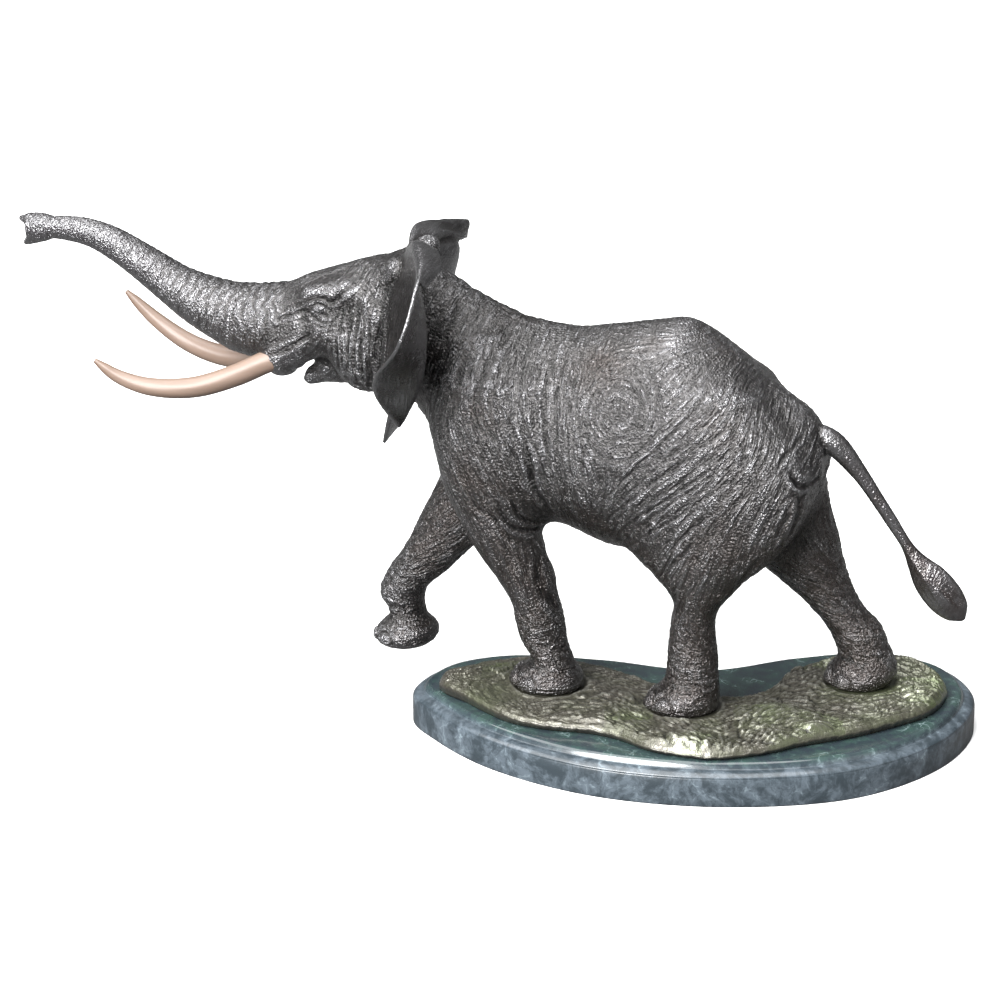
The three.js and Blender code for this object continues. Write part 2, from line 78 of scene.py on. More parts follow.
# Trunk, from its tip to between the eyes: x, upper side, under side, half width.
TRUNK = [
    (-523, 355.5, 335.5, 9), (-514, 355.5, 337.5, 8.7), (-501, 356, 338.5, 8.5), (-477, 356.5, 335.5, 9.5),
    (-457, 352, 326.5, 11.5), (-438, 344, 314, 13.5), (-418, 334, 299, 16), (-399, 324.5, 285, 19),
    (-379, 319, 274, 22), (-356, 316, 264, 25.5), (-330, 318, 262, 29), (-300, 323, 268, 31),
]
# Legs, from the sole up: z, front, back, middle across, half width.
LEFT_FORELEG = [
    (40, -135, -84, -31, 24), (48, -136, -84, -31, 25), (60, -122, -91, -31, 18),
    (76, -130, -96, -31, 18), (90, -134, -98, -31, 19), (105, -137, -102, -31, 20),
    (124, -150, -106, -31, 22), (142, -163, -112, -32, 24), (160, -173, -117, -33, 26),
    (180, -183, -118, -34, 27), (200, -190, -112, -35, 27), (230, -192, -106, -36, 24),
    (265, -180, -110, -35, 16),
]
RIGHT_FORELEG = [
    (38, -258, -220, 26, 21), (45, -262, -214, 26, 25), (52, -258, -214, 26, 23),
    (60, -250, -222, 26, 17), (67, -252, -224, 27, 16.5), (75, -257, -224, 27, 18),
    (84, -257, -221, 27, 19), (97, -251, -207, 28, 20), (114, -239, -191, 28, 22),
    (138, -227, -167, 30, 25), (157, -218, -152, 31, 26), (178, -209, -138, 33, 27),
    (200, -200, -124, 34, 27), (230, -194, -114, 35, 24), (265, -182, -112, 35, 16),
]
LEFT_HINDLEG = [
    (40, -34, 20, -43, 24), (48, -30, 21.5, -43, 25), (61, -19, 21, -43, 18.5),
    (76, -17, 20, -43, 17.5), (91, -16, 18, -42, 17.5), (108, -14, 17, -42, 18.5),
    (119, -13, 21, -42, 20), (129, -18, 29, -41, 23), (141, -30, 39, -40, 26),
    (155, -42, 54, -39, 29), (180, -48, 72, -37, 31), (210, -44, 78, -35, 31),
    (240, -34, 66, -33, 26), (268, -22, 38, -28, 16),
]
RIGHT_HINDLEG = [
    (40, 82, 129, 41, 24), (49, 84, 134.5, 41, 25), (60, 91, 133, 41, 19), (70, 89, 128, 41, 18),
    (84, 81, 122, 41, 18), (94, 72, 111, 41, 18), (106, 60, 103, 40, 19), (115, 48, 99, 40, 21),
    (134, 24, 93, 39, 26), (150, 2, 89, 38, 29), (168, -15, 84, 37, 31), (190, -26, 79, 36, 32),
    (220, -28, 74, 35, 30), (245, -24, 58, 32, 25), (268, -16, 34, 28, 15),
]
# Ribs of an ear, from the free edge of its folded top down to its lobe. Each rib runs out from the
# head: where it leaves the head, two points on the way, rim.
LEFT_EAR = [
    [(-208, -26, 359), (-185, -56, 366), (-174, -82, 359), (-178, -108, 354)],
    [(-212, -24, 363), (-200, -56, 370), (-187, -86, 367.4), (-179, -114, 360)],
    [(-224, -26, 343), (-202, -60, 352), (-187, -92, 350), (-181, -126, 345)],
    [(-236, -29, 325), (-202, -60, 327), (-185, -90, 326), (-186, -134, 325)],
    [(-242, -30, 305), (-204, -60, 304), (-185, -88, 303), (-197, -130, 306)],
    [(-244, -30, 285), (-208, -58, 283), (-189, -84, 281), (-212, -114, 290)],
    [(-242, -28, 268), (-214, -54, 262), (-199, -76, 259), (-217, -100, 271)],
    [(-236, -32, 260), (-219, -51, 249), (-209, -64, 244), (-207, -74, 241)],
]
RIGHT_EAR = [
    [(-228, 24, 340), (-222, 64, 347), (-215, 94, 337), (-216, 116, 332)],
    [(-232, 24, 345), (-238, 58, 353), (-230, 90, 350), (-218, 121, 344)],
    [(-230, 26, 334), (-219, 60, 336), (-215, 82, 332), (-237, 128, 328)],
    [(-240, 28, 318), (-218, 56, 318), (-217, 80, 313), (-243, 132, 304)],
    [(-246, 28, 301), (-221, 56, 298), (-221, 80, 290), (-247, 128, 276)],
    [(-248, 28, 285), (-228, 54, 276), (-229, 77, 261), (-256, 116, 238)],
    [(-247, 27, 270), (-238, 51, 249), (-243, 73, 226), (-263, 104, 192)],
    [(-244, 28, 260), (-251, 48, 230), (-263, 62, 204), (-273, 80, 175)],
]
TAIL_LINE = [
    (70, 0, 240), (89, 0, 235), (108, 0, 216), (125, 0, 193), (143, 0, 167), (153, 0, 152),
    (168, 0, 134), (188, 0, 112),
]
# Share of the tail's length, half across, half in the tail's plane.
TAIL_GIRTH = [
    (0, 10, 10), (0.12, 8.5, 8.5), (0.3, 5.2, 5.4), (0.5, 4.2, 4.4), (0.63, 3.8, 4.4),
    (0.7, 5, 7.5), (0.78, 7, 12.5), (0.88, 7, 13.5), (0.96, 4.5, 9), (1, 1, 2),
]
LEFT_TUSK_LINE = [
    (-308, -22, 273), (-328, -25, 264.5), (-350, -30, 254), (-380, -37, 244.5),
    (-412, -42, 243.5), (-436, -44, 250), (-454, -45, 261),
]
RIGHT_TUSK_LINE = [
    (-308, 22, 273), (-328, 25, 262), (-352, 28, 251.5), (-382, 33, 248.5), (-412, 38, 254.5),
    (-440, 42, 269), (-466, 45, 289),
]
# Share of the tusk's length, radius.
TUSK_GIRTH = [(0, 8.4), (0.3, 8.2), (0.55, 7.6), (0.8, 5.9), (0.93, 4), (1, 1.8)]

# The ground patch, from end to end: x, front edge, back edge, height of the rim.
GROUND = [
    (-188, 27, 35, 37), (-183, 18, 45, 40), (-168, 3, 57, 39.5), (-155, -13, 69, 38.5),
    (-136, -33, 77, 37.5), (-109, -46, 80, 37), (-76, -53, 70, 36.5), (-55, -64, 53, 36),
    (-35, -82, 35, 35.5), (-8, -93, 18, 35), (12, -96, 8, 35), (35, -90, 11, 35.5),
    (55, -81, 25, 36), (68, -73, 49, 37), (80, -67, 67, 37), (94, -61, 80, 37),
    (118, -49, 93, 37.5), (146, -30, 92, 38), (165, -15, 82, 38), (177, 4, 62, 38),
    (184, 24, 42, 37),
]
# Swells and rocks of the ground: x, y, reach along x, reach along y, height.
SWELLS = [
    (-165, 35, 22, 18, 3.4), (-58, 22, 30, 22, 2.6), (-76, -36, 20, 10, 2), (-4, -82, 20, 9, 3.8),
    (24, -62, 18, 14, -2.4), (60, -32, 24, 16, 4), (84, -58, 12, 8, 2.8), (112, -44, 10, 7, 3),
    (84, 30, 14, 22, 3), (162, 18, 14, 24, 4.2), (150, 72, 18, 14, 3.4),
]
SOLES = [(-108, -31), (-4, -43), (108, 41)]
FOOT = 25.5  # radius of the level ground under a foot

# Outline of the marble, anticlockwise from its right end.
KIDNEY = [
    (207, 44), (190, 100), (140, 127), (74, 114), (8, 88), (-66, 106), (-140, 113), (-188, 90),
    (-209, 44), (-190, 4), (-146, -48), (-72, -92), (20, -107), (112, -88), (180, -28),
]




# ---- curves and noise ---------------------------------------------------------------------

def along(rows, t):
    """The values at t on smooth curves through rows of (t, value, value, ...)."""
    rows = np.array(rows, np.float32)
    keys = rows[:, 0]
    t = np.clip(t, keys[0], keys[-1])
    i = np.clip(np.searchsorted(keys, t, side="right") - 1, 0, len(keys) - 2)
    before, after = np.maximum(i - 1, 0), np.minimum(i + 2, len(keys) - 1)
    span = keys[i + 1] - keys[i]
    s = (t - keys[i]) / span
    values = []
    for column in rows.T[1:]:
        leave = (column[i + 1] - column[before]) / (keys[i + 1] - keys[before]) * span
        reach = (column[after] - column[i]) / (keys[after] - keys[i]) * span
        rise = column[i + 1] - column[i]
        cubic = 3 * rise - 2 * leave - reach + s * (leave + reach - 2 * rise)
        values.append((column[i] + s * (leave + s * cubic)).astype(np.float32))
    return values


def curve(points, u, closed=False):
    """Points at u, from 0 to 1, on a centripetal Catmull-Rom curve through the given points."""
    points = np.array(points, float)
    if closed:
        spans = len(points)
        ends = np.vstack([points[-1:], points, points[:2]])
    else:
        spans = len(points) - 1
        ends = np.vstack([2 * points[0] - points[1], points, 2 * points[-1] - points[-2]])
    place = np.clip(u, 0, 1) * spans
    i = np.minimum(place.astype(int), spans - 1)
    s = (place - i)[:, None]
    a, b, c, d = (ends[i + n] for n in range(4))
    h0, h1, h2 = (
        np.maximum(np.sqrt(np.linalg.norm(q - p, axis=1, keepdims=True)), 1e-4)
        for p, q in ((a, b), (b, c), (c, d))
    )
    leave = ((b - a) / h0 - (c - a) / (h0 + h1) + (c - b) / h1) * h1
    reach = ((c - b) / h1 - (d - b) / (h1 + h2) + (d - c) / h2) * h1
    return b + s * (leave + s * (3 * (c - b) - 2 * leave - reach + s * (2 * (b - c) + leave + reach)))


def evenly(points, count, closed=False):
    """That many points, evenly spaced along the curve, and the curve's direction at each."""
    fine = curve(points, np.linspace(0, 1, 1200), closed)
    length = np.concatenate([[0], np.cumsum(np.linalg.norm(np.diff(fine, axis=0), axis=1))])
    share = np.linspace(0, 1, count + 1)[:-1] if closed else np.linspace(0, 1, count)
    place = [
        np.stack([np.interp(t * length[-1], length, column) for column in fine.T], 1)
        for t in (share, np.clip(share + 0.002, 0, 1), np.clip(share - 0.002, 0, 1))
    ]
    ahead = place[1] - place[2]
    return place[0], ahead / np.linalg.norm(ahead, axis=1, keepdims=True)


def unit(v):
    return v / np.maximum(np.linalg.norm(v, axis=-1, keepdims=True), 1e-9)


def ramp(x, low, high):
    """0 below low, 1 above high, and smooth between them."""
    s = np.clip((x - low) / (high - low), 0, 1)
    return s * s * (3 - 2 * s)


RANDOM = np.random.default_rng(7)
SHUFFLE = RANDOM.permutation(256)
SLOPES = unit(RANDOM.normal(size=(256, 3))).astype(np.float32)


def noise(p, seed=0):
    """Smooth noise from about -1 to 1 at points p, with features one unit across."""
    cell = np.floor(p).astype(np.int64)
    f = (p - cell).astype(np.float32)
    fade = f * f * f * (f * (f * 6 - 15) + 10)
    total = np.zeros(len(p), np.float32)
    for a in (0, 1):
        first = SHUFFLE[(cell[:, 0] + a + 37 * seed) & 255]
        for b in (0, 1):
            second = SHUFFLE[(first + cell[:, 1] + b) & 255]
            for c in (0, 1):
                slope = SLOPES[SHUFFLE[(second + cell[:, 2] + c) & 255]]
                away = f - np.array((a, b, c), np.float32)
                share = np.ones(len(p), np.float32)
                for axis, corner in enumerate((a, b, c)):
                    share *= fade[:, axis] if corner else 1 - fade[:, axis]
                total += share * np.einsum("ij,ij->i", slope, away)
    return total * 1.6


def layered(p, octaves, seed=0):
    """Noise with finer and finer layers."""
    return sum(noise(p * 2**n, seed + n) * 0.5**n for n in range(octaves))


# ---- the elephant's form, as a distance field ---------------------------------------------

def blend(a, b, k):
    """The nearer of two distances, with a rounded join of width k."""
    h = np.maximum(k - np.abs(a - b), 0) / k
    return np.minimum(a, b) - h * h * k * 0.25


def carve(a, b, k):
    """Takes away b from a, with a rounded lip of width k."""
    return -blend(-a, b, k)


def ellipse(u, v, a, b):
    near = np.sqrt((u / a) ** 2 + (v / b) ** 2)
    slope = np.sqrt((u / (a * a)) ** 2 + (v / (b * b)) ** 2)
    return near * (near - 1) / np.maximum(slope, 1e-4)


def ellipsoid(p, centre, radii, tilt=0.0):
    """Distance from an ellipsoid, turned by `tilt` radians about Y."""
    c, s = math.cos(tilt), math.sin(tilt)
    dx, dy, dz = (a - b for a, b in zip(p, centre))
    u, v, w = c * dx + s * dz, dy, c * dz - s * dx
    rx, ry, rz = radii
    near = np.sqrt((u / rx) ** 2 + (v / ry) ** 2 + (w / rz) ** 2)
    slope = np.sqrt((u / rx**2) ** 2 + (v / ry**2) ** 2 + (w / rz**2) ** 2)
    return near * (near - 1) / np.maximum(slope, 1e-4)


def rod(p, a, ra, b, rb):
    """Distance from a rod that tapers from radius ra at a to rb at b."""
    span = [float(n - m) for m, n in zip(a, b)]
    run = sum((q - m) * n for q, m, n in zip(p, a, span))
    t = np.clip(run / sum(n * n for n in span), 0, 1)
    away = sum((q - m - t * n) ** 2 for q, m, n in zip(p, a, span))
    return np.sqrt(away) - ra - t * (rb - ra)


def capped(section, past):
    """A section's distance, for points that may lie past the ends of the run of sections."""
    beyond = (past > 0) & (section > 0)
    corner = np.sqrt(np.maximum(section, 0) ** 2 + np.maximum(past, 0) ** 2)
    return np.where(beyond, corner, np.maximum(section, past))


def torso(p):
    x, y, z = p
    top, bottom, half = along(TORSO, x)
    tall = (top - bottom) / 2
    up = (z - (top + bottom) / 2) / tall
    width = half * (1 - EGG * np.clip(up, -1, 1))
    return capped(ellipse(y, up * tall, width, tall), np.maximum(TORSO[0][0] - x, x - TORSO[-1][0]))


def trunk(p):
    x, y, z = p
    top, bottom, half = along(TRUNK, x)
    past = np.maximum(TRUNK[0][0] - x, x - TRUNK[-1][0])
    return capped(ellipse(y, z - (top + bottom) / 2, half, (top - bottom) / 2), past) * 0.9


def leg(rows, p):
    x, y, z = p
    front, back, middle, half = along(rows, z)
    past = np.maximum(rows[0][0] - z, z - rows[-1][0])
    return capped(ellipse(x - (front + back) / 2, y - middle, (back - front) / 2, half), past)


def head(p):
    """Skull, cheeks, jaw, lips, eyes and the sheaths of the tusks, the same on both sides."""
    x, y, z = p
    p = (x, np.abs(y), z)
    d = ellipsoid(p, (-240, 0, 307), (44, 42, 39))
    d = blend(d, ellipsoid(p, (-270, 0, 301), (43, 35, 30), -0.35), 16)  # forehead
    d = blend(d, ellipsoid(p, (-251, 21, 281), (27, 22, 32), 0.2), 12)  # cheek
    d = blend(d, rod(p, (-244, 0, 267), 22, (-284, 0, 261), 12), 12)  # lower jaw
    d = blend(d, rod(p, (-280, 0, 258.5), 11, (-301, 0, 250), 7), 5)  # lower lip
    d = blend(d, rod(p, (-282, 20, 293), 15, (-318, 20, 269), 12.5), 12)  # tusk sheath
    d = blend(d, rod(p, (-311, 15, 263), 8, (-318, 17, 262), 8), 7)  # flesh below the tusk
    d = blend(d, rod(p, (-262, 30, 324), 8, (-290, 27, 318), 7), 10)  # brow
    d = blend(d, rod(p, (-228, 24, 334), 13, (-221, 33, 345), 9), 14)  # root of the ear
    d = carve(d, ellipsoid(p, (-262, 47, 311), (14, 9, 16)), 10)  # temple
    d = carve(d, ellipsoid(p, (-281, 43, 311), (11, 8, 6.5), 0.25), 6)  # eye socket
    sideways = (x, 0 * y, z)
    d = carve(d, rod(sideways, (-310, 0, 247), 2.6, (-305, 0, 259), 1.4), 2)  # corner of the mouth
    return blend(d, ellipsoid(p, (-282, 31.5, 310.5), (6.5, 5.5, 3.8), 0.2), 2)  # eye


def trunk_tip(p):
    """The two fingers at the end of the trunk."""
    upper = rod(p, (-514, 0, 350), 7, (-529.5, 0, 352.6), 2.2)
    lower = rod(p, (-512, 0, 342), 6, (-526.5, 0, 334), 2.4)
    return blend(upper, lower, 5)


# Each form with the stretch of x that it fills and the width of its join.
FORMS = [
    (torso, -222, 88, 1),
    (lambda p: ellipsoid((p[0], np.abs(p[1]), p[2]), (-152, 34, 244), (34, 24, 56), 0.25), -190, -110, 18),
    (lambda p: ellipsoid((p[0], np.abs(p[1]), p[2]), (0, 30, 242), (43, 29, 45), 0.5), -45, 45, 18),
    (lambda p: leg(LEFT_FORELEG, p), -192, -84, 20),
    (lambda p: leg(RIGHT_FORELEG, p), -262, -108, 20),
    (lambda p: leg(LEFT_HINDLEG, p), -48, 78, 20),
    (lambda p: leg(RIGHT_HINDLEG, p), -28, 135, 20),
    (head, -330, -190, 20),
    (trunk, -523, -290, 10),
    (trunk_tip, -532, -500, 5),
]


def beast(p):
    """Distance from the whole animal without ears, tail and tusks."""
    low, high = p[0].min(), p[0].max()
    far = 60
    d = np.full(np.broadcast_shapes(*(q.shape for q in p)), far, np.float32)
    for form, start, end, k in FORMS:
        if low < end + far and high > start - far:
            d = blend(d, form(p), k)
    if high > 20:
        d = carve(d, rod(p, (89, 3, 206), 5, (72, 5, 150), 8), 9)  # cleft between the hind legs
    return d


# ---- from fields and curves to meshes -----------------------------------------------------

def skin(field, lows, highs, step):
    """Surface nets: the points and quads of the field's surface on a regular grid."""
    xs, ys, zs = (np.arange(a, b, step, dtype=np.float32) for a, b in zip(lows, highs))
    slabs = [
        field((xs[n:n + 8, None, None], ys[None, :, None], zs[None, None, :]))
        for n in range(0, len(xs), 8)
    ]
    value = np.concatenate(slabs)
    inside = value < 0
    n = np.array(value.shape)
    corners = [(a, b, c) for a in (0, 1) for b in (0, 1) for c in (0, 1)]
    cut = lambda a, b, c: tuple(slice(q, m - 1 + q) for q, m in zip((a, b, c), n))
    count = sum(inside[cut(*corner)].astype(np.int8) for corner in corners)
    cells = np.argwhere((count > 0) & (count < 8))
    vertex = np.full(n - 1, -1, np.int64)
    vertex[tuple(cells.T)] = np.arange(len(cells))
    total, cuts = np.zeros((len(cells), 3)), np.zeros(len(cells))
    for m, first in enumerate(corners):
        for second in corners[m + 1:]:
            if sum(abs(q - r) for q, r in zip(first, second)) != 1:
                continue
            a = value[tuple((cells + first).T)]
            b = value[tuple((cells + second).T)]
            crossed = (a < 0) != (b < 0)
            t = np.where(crossed, a / np.where(a == b, 1, a - b), 0)[:, None]
            place = np.array(first) + t * (np.array(second) - first)
            total += place * crossed[:, None]
            cuts += crossed
    points = np.array(lows) + (cells + total / cuts[:, None]) * step
    quads = []
    for axis in range(3):
        u, v = np.eye(3, dtype=int)[(axis + 1) % 3], np.eye(3, dtype=int)[(axis + 2) % 3]
        ahead = np.roll(inside, -1, axis)
        edges = np.argwhere(inside != ahead)
        edges = edges[((edges > 0) & (edges < n - 1)).all(1)]
        ring = [vertex[tuple((edges - shift).T)] for shift in (0 * u, u, u + v, v)]
        ring = np.stack(ring, 1)
        flip = ~inside[tuple(edges.T)]
        ring[flip] = ring[flip][:, ::-1]
        quads.append(ring)
    return points, np.concatenate(quads)


def tube_faces(rings, sides):
    """Quads between rings of points, each ring as long as the next."""
    i, j = np.meshgrid(np.arange(rings - 1), np.arange(sides), indexing="ij")
    k = (j + 1) % sides
    quads = np.stack([i * sides + j, i * sides + k, (i + 1) * sides + k, (i + 1) * sides + j], -1)
    return quads.reshape(-1, 4)


def ringed(rings):
    """A closed mesh of rings of points, with a fan at each end."""
    count, sides, _ = rings.shape
    points = np.concatenate([rings.reshape(-1, 3), rings[0].mean(0)[None], rings[-1].mean(0)[None]])
    first, last = count * sides, count * sides + 1
    j = np.arange(sides)
    k = (j + 1) % sides
    start = np.stack([np.full(sides, first), k, j, j], 1)
    end = np.stack([np.full(sides, last), j + (count - 1) * sides, k + (count - 1) * sides,
                    k + (count - 1) * sides], 1)
    return points, [tuple(q) for q in tube_faces(count, sides)] + [
        tuple(dict.fromkeys(q)) for q in np.concatenate([start, end])]


def bar(line, girth, steps, sides, relief=None):
    """A round bar along a curve. `relief(t, angle)` adds to its radius."""
    centre, ahead = evenly(line, steps + 1)
    across = unit(np.array([0, 1, 0]) - ahead * ahead[:, 1:2])
    up = np.cross(ahead, across)
    t = np.linspace(0, 1, steps + 1)
    girths = along(girth, t)
    wide, thick = girths[0], girths[-1]
    angle = np.linspace(0, 2 * math.pi, sides, endpoint=False)
    extra = relief(t[:, None], angle[None, :]) if relief else np.zeros((steps + 1, sides))
    rings = (
        centre[:, None]
        + across[:, None] * ((wide[:, None] + extra) * np.cos(angle))[..., None]
        + up[:, None] * ((thick[:, None] + extra) * np.sin(angle))[..., None]
    )
    return ringed(rings)


def ear_sheet(ribs, seed, steps=150, across=90, thick=4.4):
    """An ear as a closed sheet with veins and creases, thinner at its rim."""
    ribs = np.array(ribs, float)
    u = np.linspace(0, 1, steps + 1)
    v = np.linspace(0, 1, across + 1)
    lines = np.stack([curve(ribs[:, n], u) for n in range(4)], 1)
    sheet = np.stack([curve(line, v) for line in lines])
    along_u = np.gradient(sheet, axis=0)
    along_v = np.gradient(sheet, axis=1)
    normal = unit(np.cross(along_v, along_u))
    half = thick / 2 * (1 - 0.42 * v**4)[None, :, None]
    grid_u, grid_v = np.meshgrid(u, v, indexing="ij")
    flat = lambda a, b, c: np.stack([grid_u * a, grid_v * b, 0 * grid_u + c], -1).reshape(-1, 3)
    veins = layered(flat(15, 2.6, 0.5), 2, seed).reshape(grid_u.shape)
    ruffle = noise(flat(7, 1.5, 0.5), seed + 9).reshape(grid_u.shape)
    wave = (ruffle * 2.2 * grid_v**2)[..., None] * normal
    ridges = (np.abs(veins) - 0.3) * 1.0 * ramp(grid_v, 0.02, 0.2) * (1 - 0.6 * ramp(grid_v, 0.8, 1))
    front = sheet + wave + normal * (half + ridges[..., None] * 0.5)
    back = sheet + wave - normal * (half + ridges[..., None] * 0.5)
    return ringed(np.concatenate([front, back[:, ::-1]], 1))


def merge(*meshes):
    """One list of points and one of faces from several meshes."""
    points, faces, offset = [], [], 0
    for some, quads in meshes:
        points.append(some)
        faces += [tuple(int(n) + offset for n in quad) for quad in quads]
        offset += len(some)
    return np.concatenate(points), faces


def to_object(name, points, faces, scale=MM):
    mesh = bpy.data.meshes.new(name)
    mesh.from_pydata((np.asarray(points) * scale).tolist(), [], [tuple(map(int, f)) for f in faces])
    mesh.update()
    thing = bpy.data.objects.new(name, mesh)
    bpy.context.scene.collection.objects.link(thing)
    return thing


def applied(thing):
    """Applies an object's modifiers."""
    ready = thing.evaluated_get(bpy.context.evaluated_depsgraph_get())
    mesh = bpy.data.meshes.new_from_object(ready)
    thing.modifiers.clear()
    old, thing.data = thing.data, mesh
    mesh.name = thing.name
    bpy.data.meshes.remove(old)
    return thing


def points_of(thing):
    flat = np.zeros(len(thing.data.vertices) * 3, np.float32)
    thing.data.vertices.foreach_get("co", flat)
    return flat.reshape(-1, 3)


def move_points(thing, points):
    thing.data.vertices.foreach_set("co", np.asarray(points, np.float32).ravel())
    thing.data.update()


def normals_of(thing):
    flat = np.zeros(len(thing.data.vertices) * 3, np.float32)
    thing.data.vertex_normals.foreach_get("vector", flat)
    return flat.reshape(-1, 3)


def edges_of(thing):
    flat = np.zeros(len(thing.data.edges) * 2, np.int32)
    thing.data.edges.foreach_get("vertices", flat)
    return flat.reshape(-1, 2)


def averaged(values, edges, times=1):
    """Values at the vertices, averaged with their neighbours over and over."""
    values = np.array(values, np.float64)
    flat = values.reshape(len(values), -1)
    a, b = edges.T
    near = np.bincount(a, minlength=len(values)) + np.bincount(b, minlength=len(values))
    for _ in range(times):
        total = np.stack([
            np.bincount(a, column[b], len(values)) + np.bincount(b, column[a], len(values))
            for column in flat.T
        ], 1)
        flat = 0.5 * flat + 0.5 * total / np.maximum(near, 1)[:, None]
    return flat.reshape(values.shape)


def remember(thing, name, values):
    """Stores a number from 0 to 1, or a direction, at each vertex, for the materials."""
    kind = "FLOAT" if values.ndim == 1 else "FLOAT_VECTOR"
    key = "value" if values.ndim == 1 else "vector"
    attribute = thing.data.attributes.new(name, kind, "POINT")
    attribute.data.foreach_set(key, np.asarray(values, np.float32).ravel())


def to_row(points):
    """From the elephant's own frame to the row frame."""
    c, s = math.cos(TURN), math.sin(TURN)
    x, y, z = np.asarray(points).T
    return np.stack([c * x - s * y, s * x + c * y, z], 1) + STAND


def finished(thing, material):
    """Gives a piece its material, shades it smooth and hangs it on the frame."""
    thing.data.materials.clear()
    thing.data.materials.append(material)
    thing.data.polygons.foreach_set("use_smooth", np.ones(len(thing.data.polygons), bool))
    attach(thing, "root")
    return thing


# ---- the elephant's skin ------------------------------------------------------------------

# How the wrinkles run on the side of the body: x, z, angle from level in degrees, depth of the
# wrinkles, depth of the folds.
BODY_LINES = [
    (-184, 322, 68, 0.6, 0.5), (-161, 315, 66, 0.6, 0.5), (-191, 268, 70, 0.6, 0.6),
    (-148, 281, 78, 0.7, 0.4), (-126, 256, 106, 0.7, 0.4), (-147, 243, 122, 0.7, 0.4),
    (-118, 225, 114, 0.7, 0.6), (-103, 280, 91, 0.8, 0.3), (-99, 238, 95, 0.8, 0.4),
    (-103, 193, 100, 0.6, 0.3), (-82, 293, 88, 0.8, 0.2), (-79, 240, 94, 0.8, 0.2),
    (-70, 219, 110, 0.8, 0.3), (-29, 233, 40, 0.8, 0.6), (-8, 255, 42, 0.7, 0.5),
    (10, 281, 48, 0.6, 0.4), (-16, 287, 60, 0.6, 0.1), (-38, 200, 50, 0.7, 0.9),
    (-8, 216, 40, 0.7, 1.0), (22, 239, 42, 0.6, 0.9), (-18, 178, 50, 0.6, 0.9),
    (13, 192, 55, 0.6, 0.8), (43, 214, 60, 0.6, 0.4), (52, 258, 100, 0.6, 0.1),
    (28, 286, 75, 0.5, 0.1), (57, 286, 120, 0.5, 0.1), (75, 251, 80, 0.6, 0.4),
    (-64, 317, 5, 0.4, 0), (-23, 315, 0, 0.4, 0), (-94, 310, 85, 0.5, 0.1), (2, 309, -10, 0.4, 0),
    (-7, 157, 65, 0.6, 0.4), (14, 148, 75, 0.6, 0.3), (36, 166, 75, 0.6, 0.4),
    (70, 190, 65, 0.6, 0.5), (75, 219, 70, 0.6, 0.5), (-49, 164, 60, 0.6, 0.5),
    (-63, 182, 85, 0.6, 0.3), (-85, 165, 95, 0.5, 0.2),
    # head
    (-246, 300, 90, 0.7, 0.7), (-250, 280, 88, 0.7, 0.8), (-252, 262, 84, 0.7, 0.7),
    (-265, 300, 85, 0.6, 0.5), (-268, 276, 95, 0.6, 0.4), (-272, 330, 20, 0.5, 0.2),
    (-250, 335, 50, 0.5, 0.2), (-235, 325, 80, 0.6, 0.5), (-300, 320, 25, 0.5, 0.2),
    (-300, 298, 15, 0.4, 0.2), (-310, 285, 25, 0.4, 0.1), (-290, 270, 40, 0.5, 0.2),
    (-285, 255, 30, 0.5, 0.2), (-235, 275, 85, 0.6, 0.6),
    # trunk
    (-328, 300, 88, 0.6, 0.3), (-345, 292, 82, 0.6, 0.3), (-370, 295, 72, 0.6, 0.2),
    (-399, 305, 63, 0.5, 0.2), (-430, 322, 64, 0.5, 0.2), (-457, 338, 68, 0.5, 0.1),
    (-490, 347, 88, 0.4, 0.1), (-520, 346, 92, 0.4, 0.1),
]
# The same for the legs on the left and on the right.
LEFT_LINES = [
    (-171, 183, 115, 0.5, 0.2), (-150, 174, 118, 0.5, 0.2), (-115, 157, 110, 0.5, 0.3),
    (-116, 192, 125, 0.6, 0.6), (-140, 130, 112, 0.5, 0.2), (-120, 110, 105, 0.5, 0.3),
    (-118, 84, 10, 0.6, 0.5), (-110, 66, 0, 0.6, 0.7), (-110, 50, 0, 0.5, 0.2),
    (0, 120, 80, 0.5, 0.2), (-2, 98, 110, 0.5, 0.2), (0, 80, 10, 0.6, 0.5), (0, 66, -5, 0.6, 0.8),
    (-4, 50, 0, 0.5, 0.2), (-20, 128, 40, 0.6, 0.5), (22, 135, 60, 0.5, 0.3),
]
RIGHT_LINES = [
    (-150, 190, 60, 0.5, 0.3), (-180, 165, 45, 0.6, 0.4), (-210, 135, 35, 0.7, 0.6),
    (-228, 110, 25, 0.7, 0.5), (-238, 84, 130, 0.6, 0.4), (-238, 66, 20, 0.6, 0.5),
    (-238, 48, 0, 0.5, 0.2), (50, 150, 130, 0.6, 0.3), (60, 125, 155, 0.6, 0.6),
    (80, 105, 160, 0.6, 0.7), (100, 84, 165, 0.6, 0.5), (110, 68, 10, 0.6, 0.8),
    (108, 50, 0, 0.5, 0.2), (76, 160, 110, 0.6, 0.3),
]
SWIRL = (-52, 261, 27)  # the whorl on the flank: x, z, radius
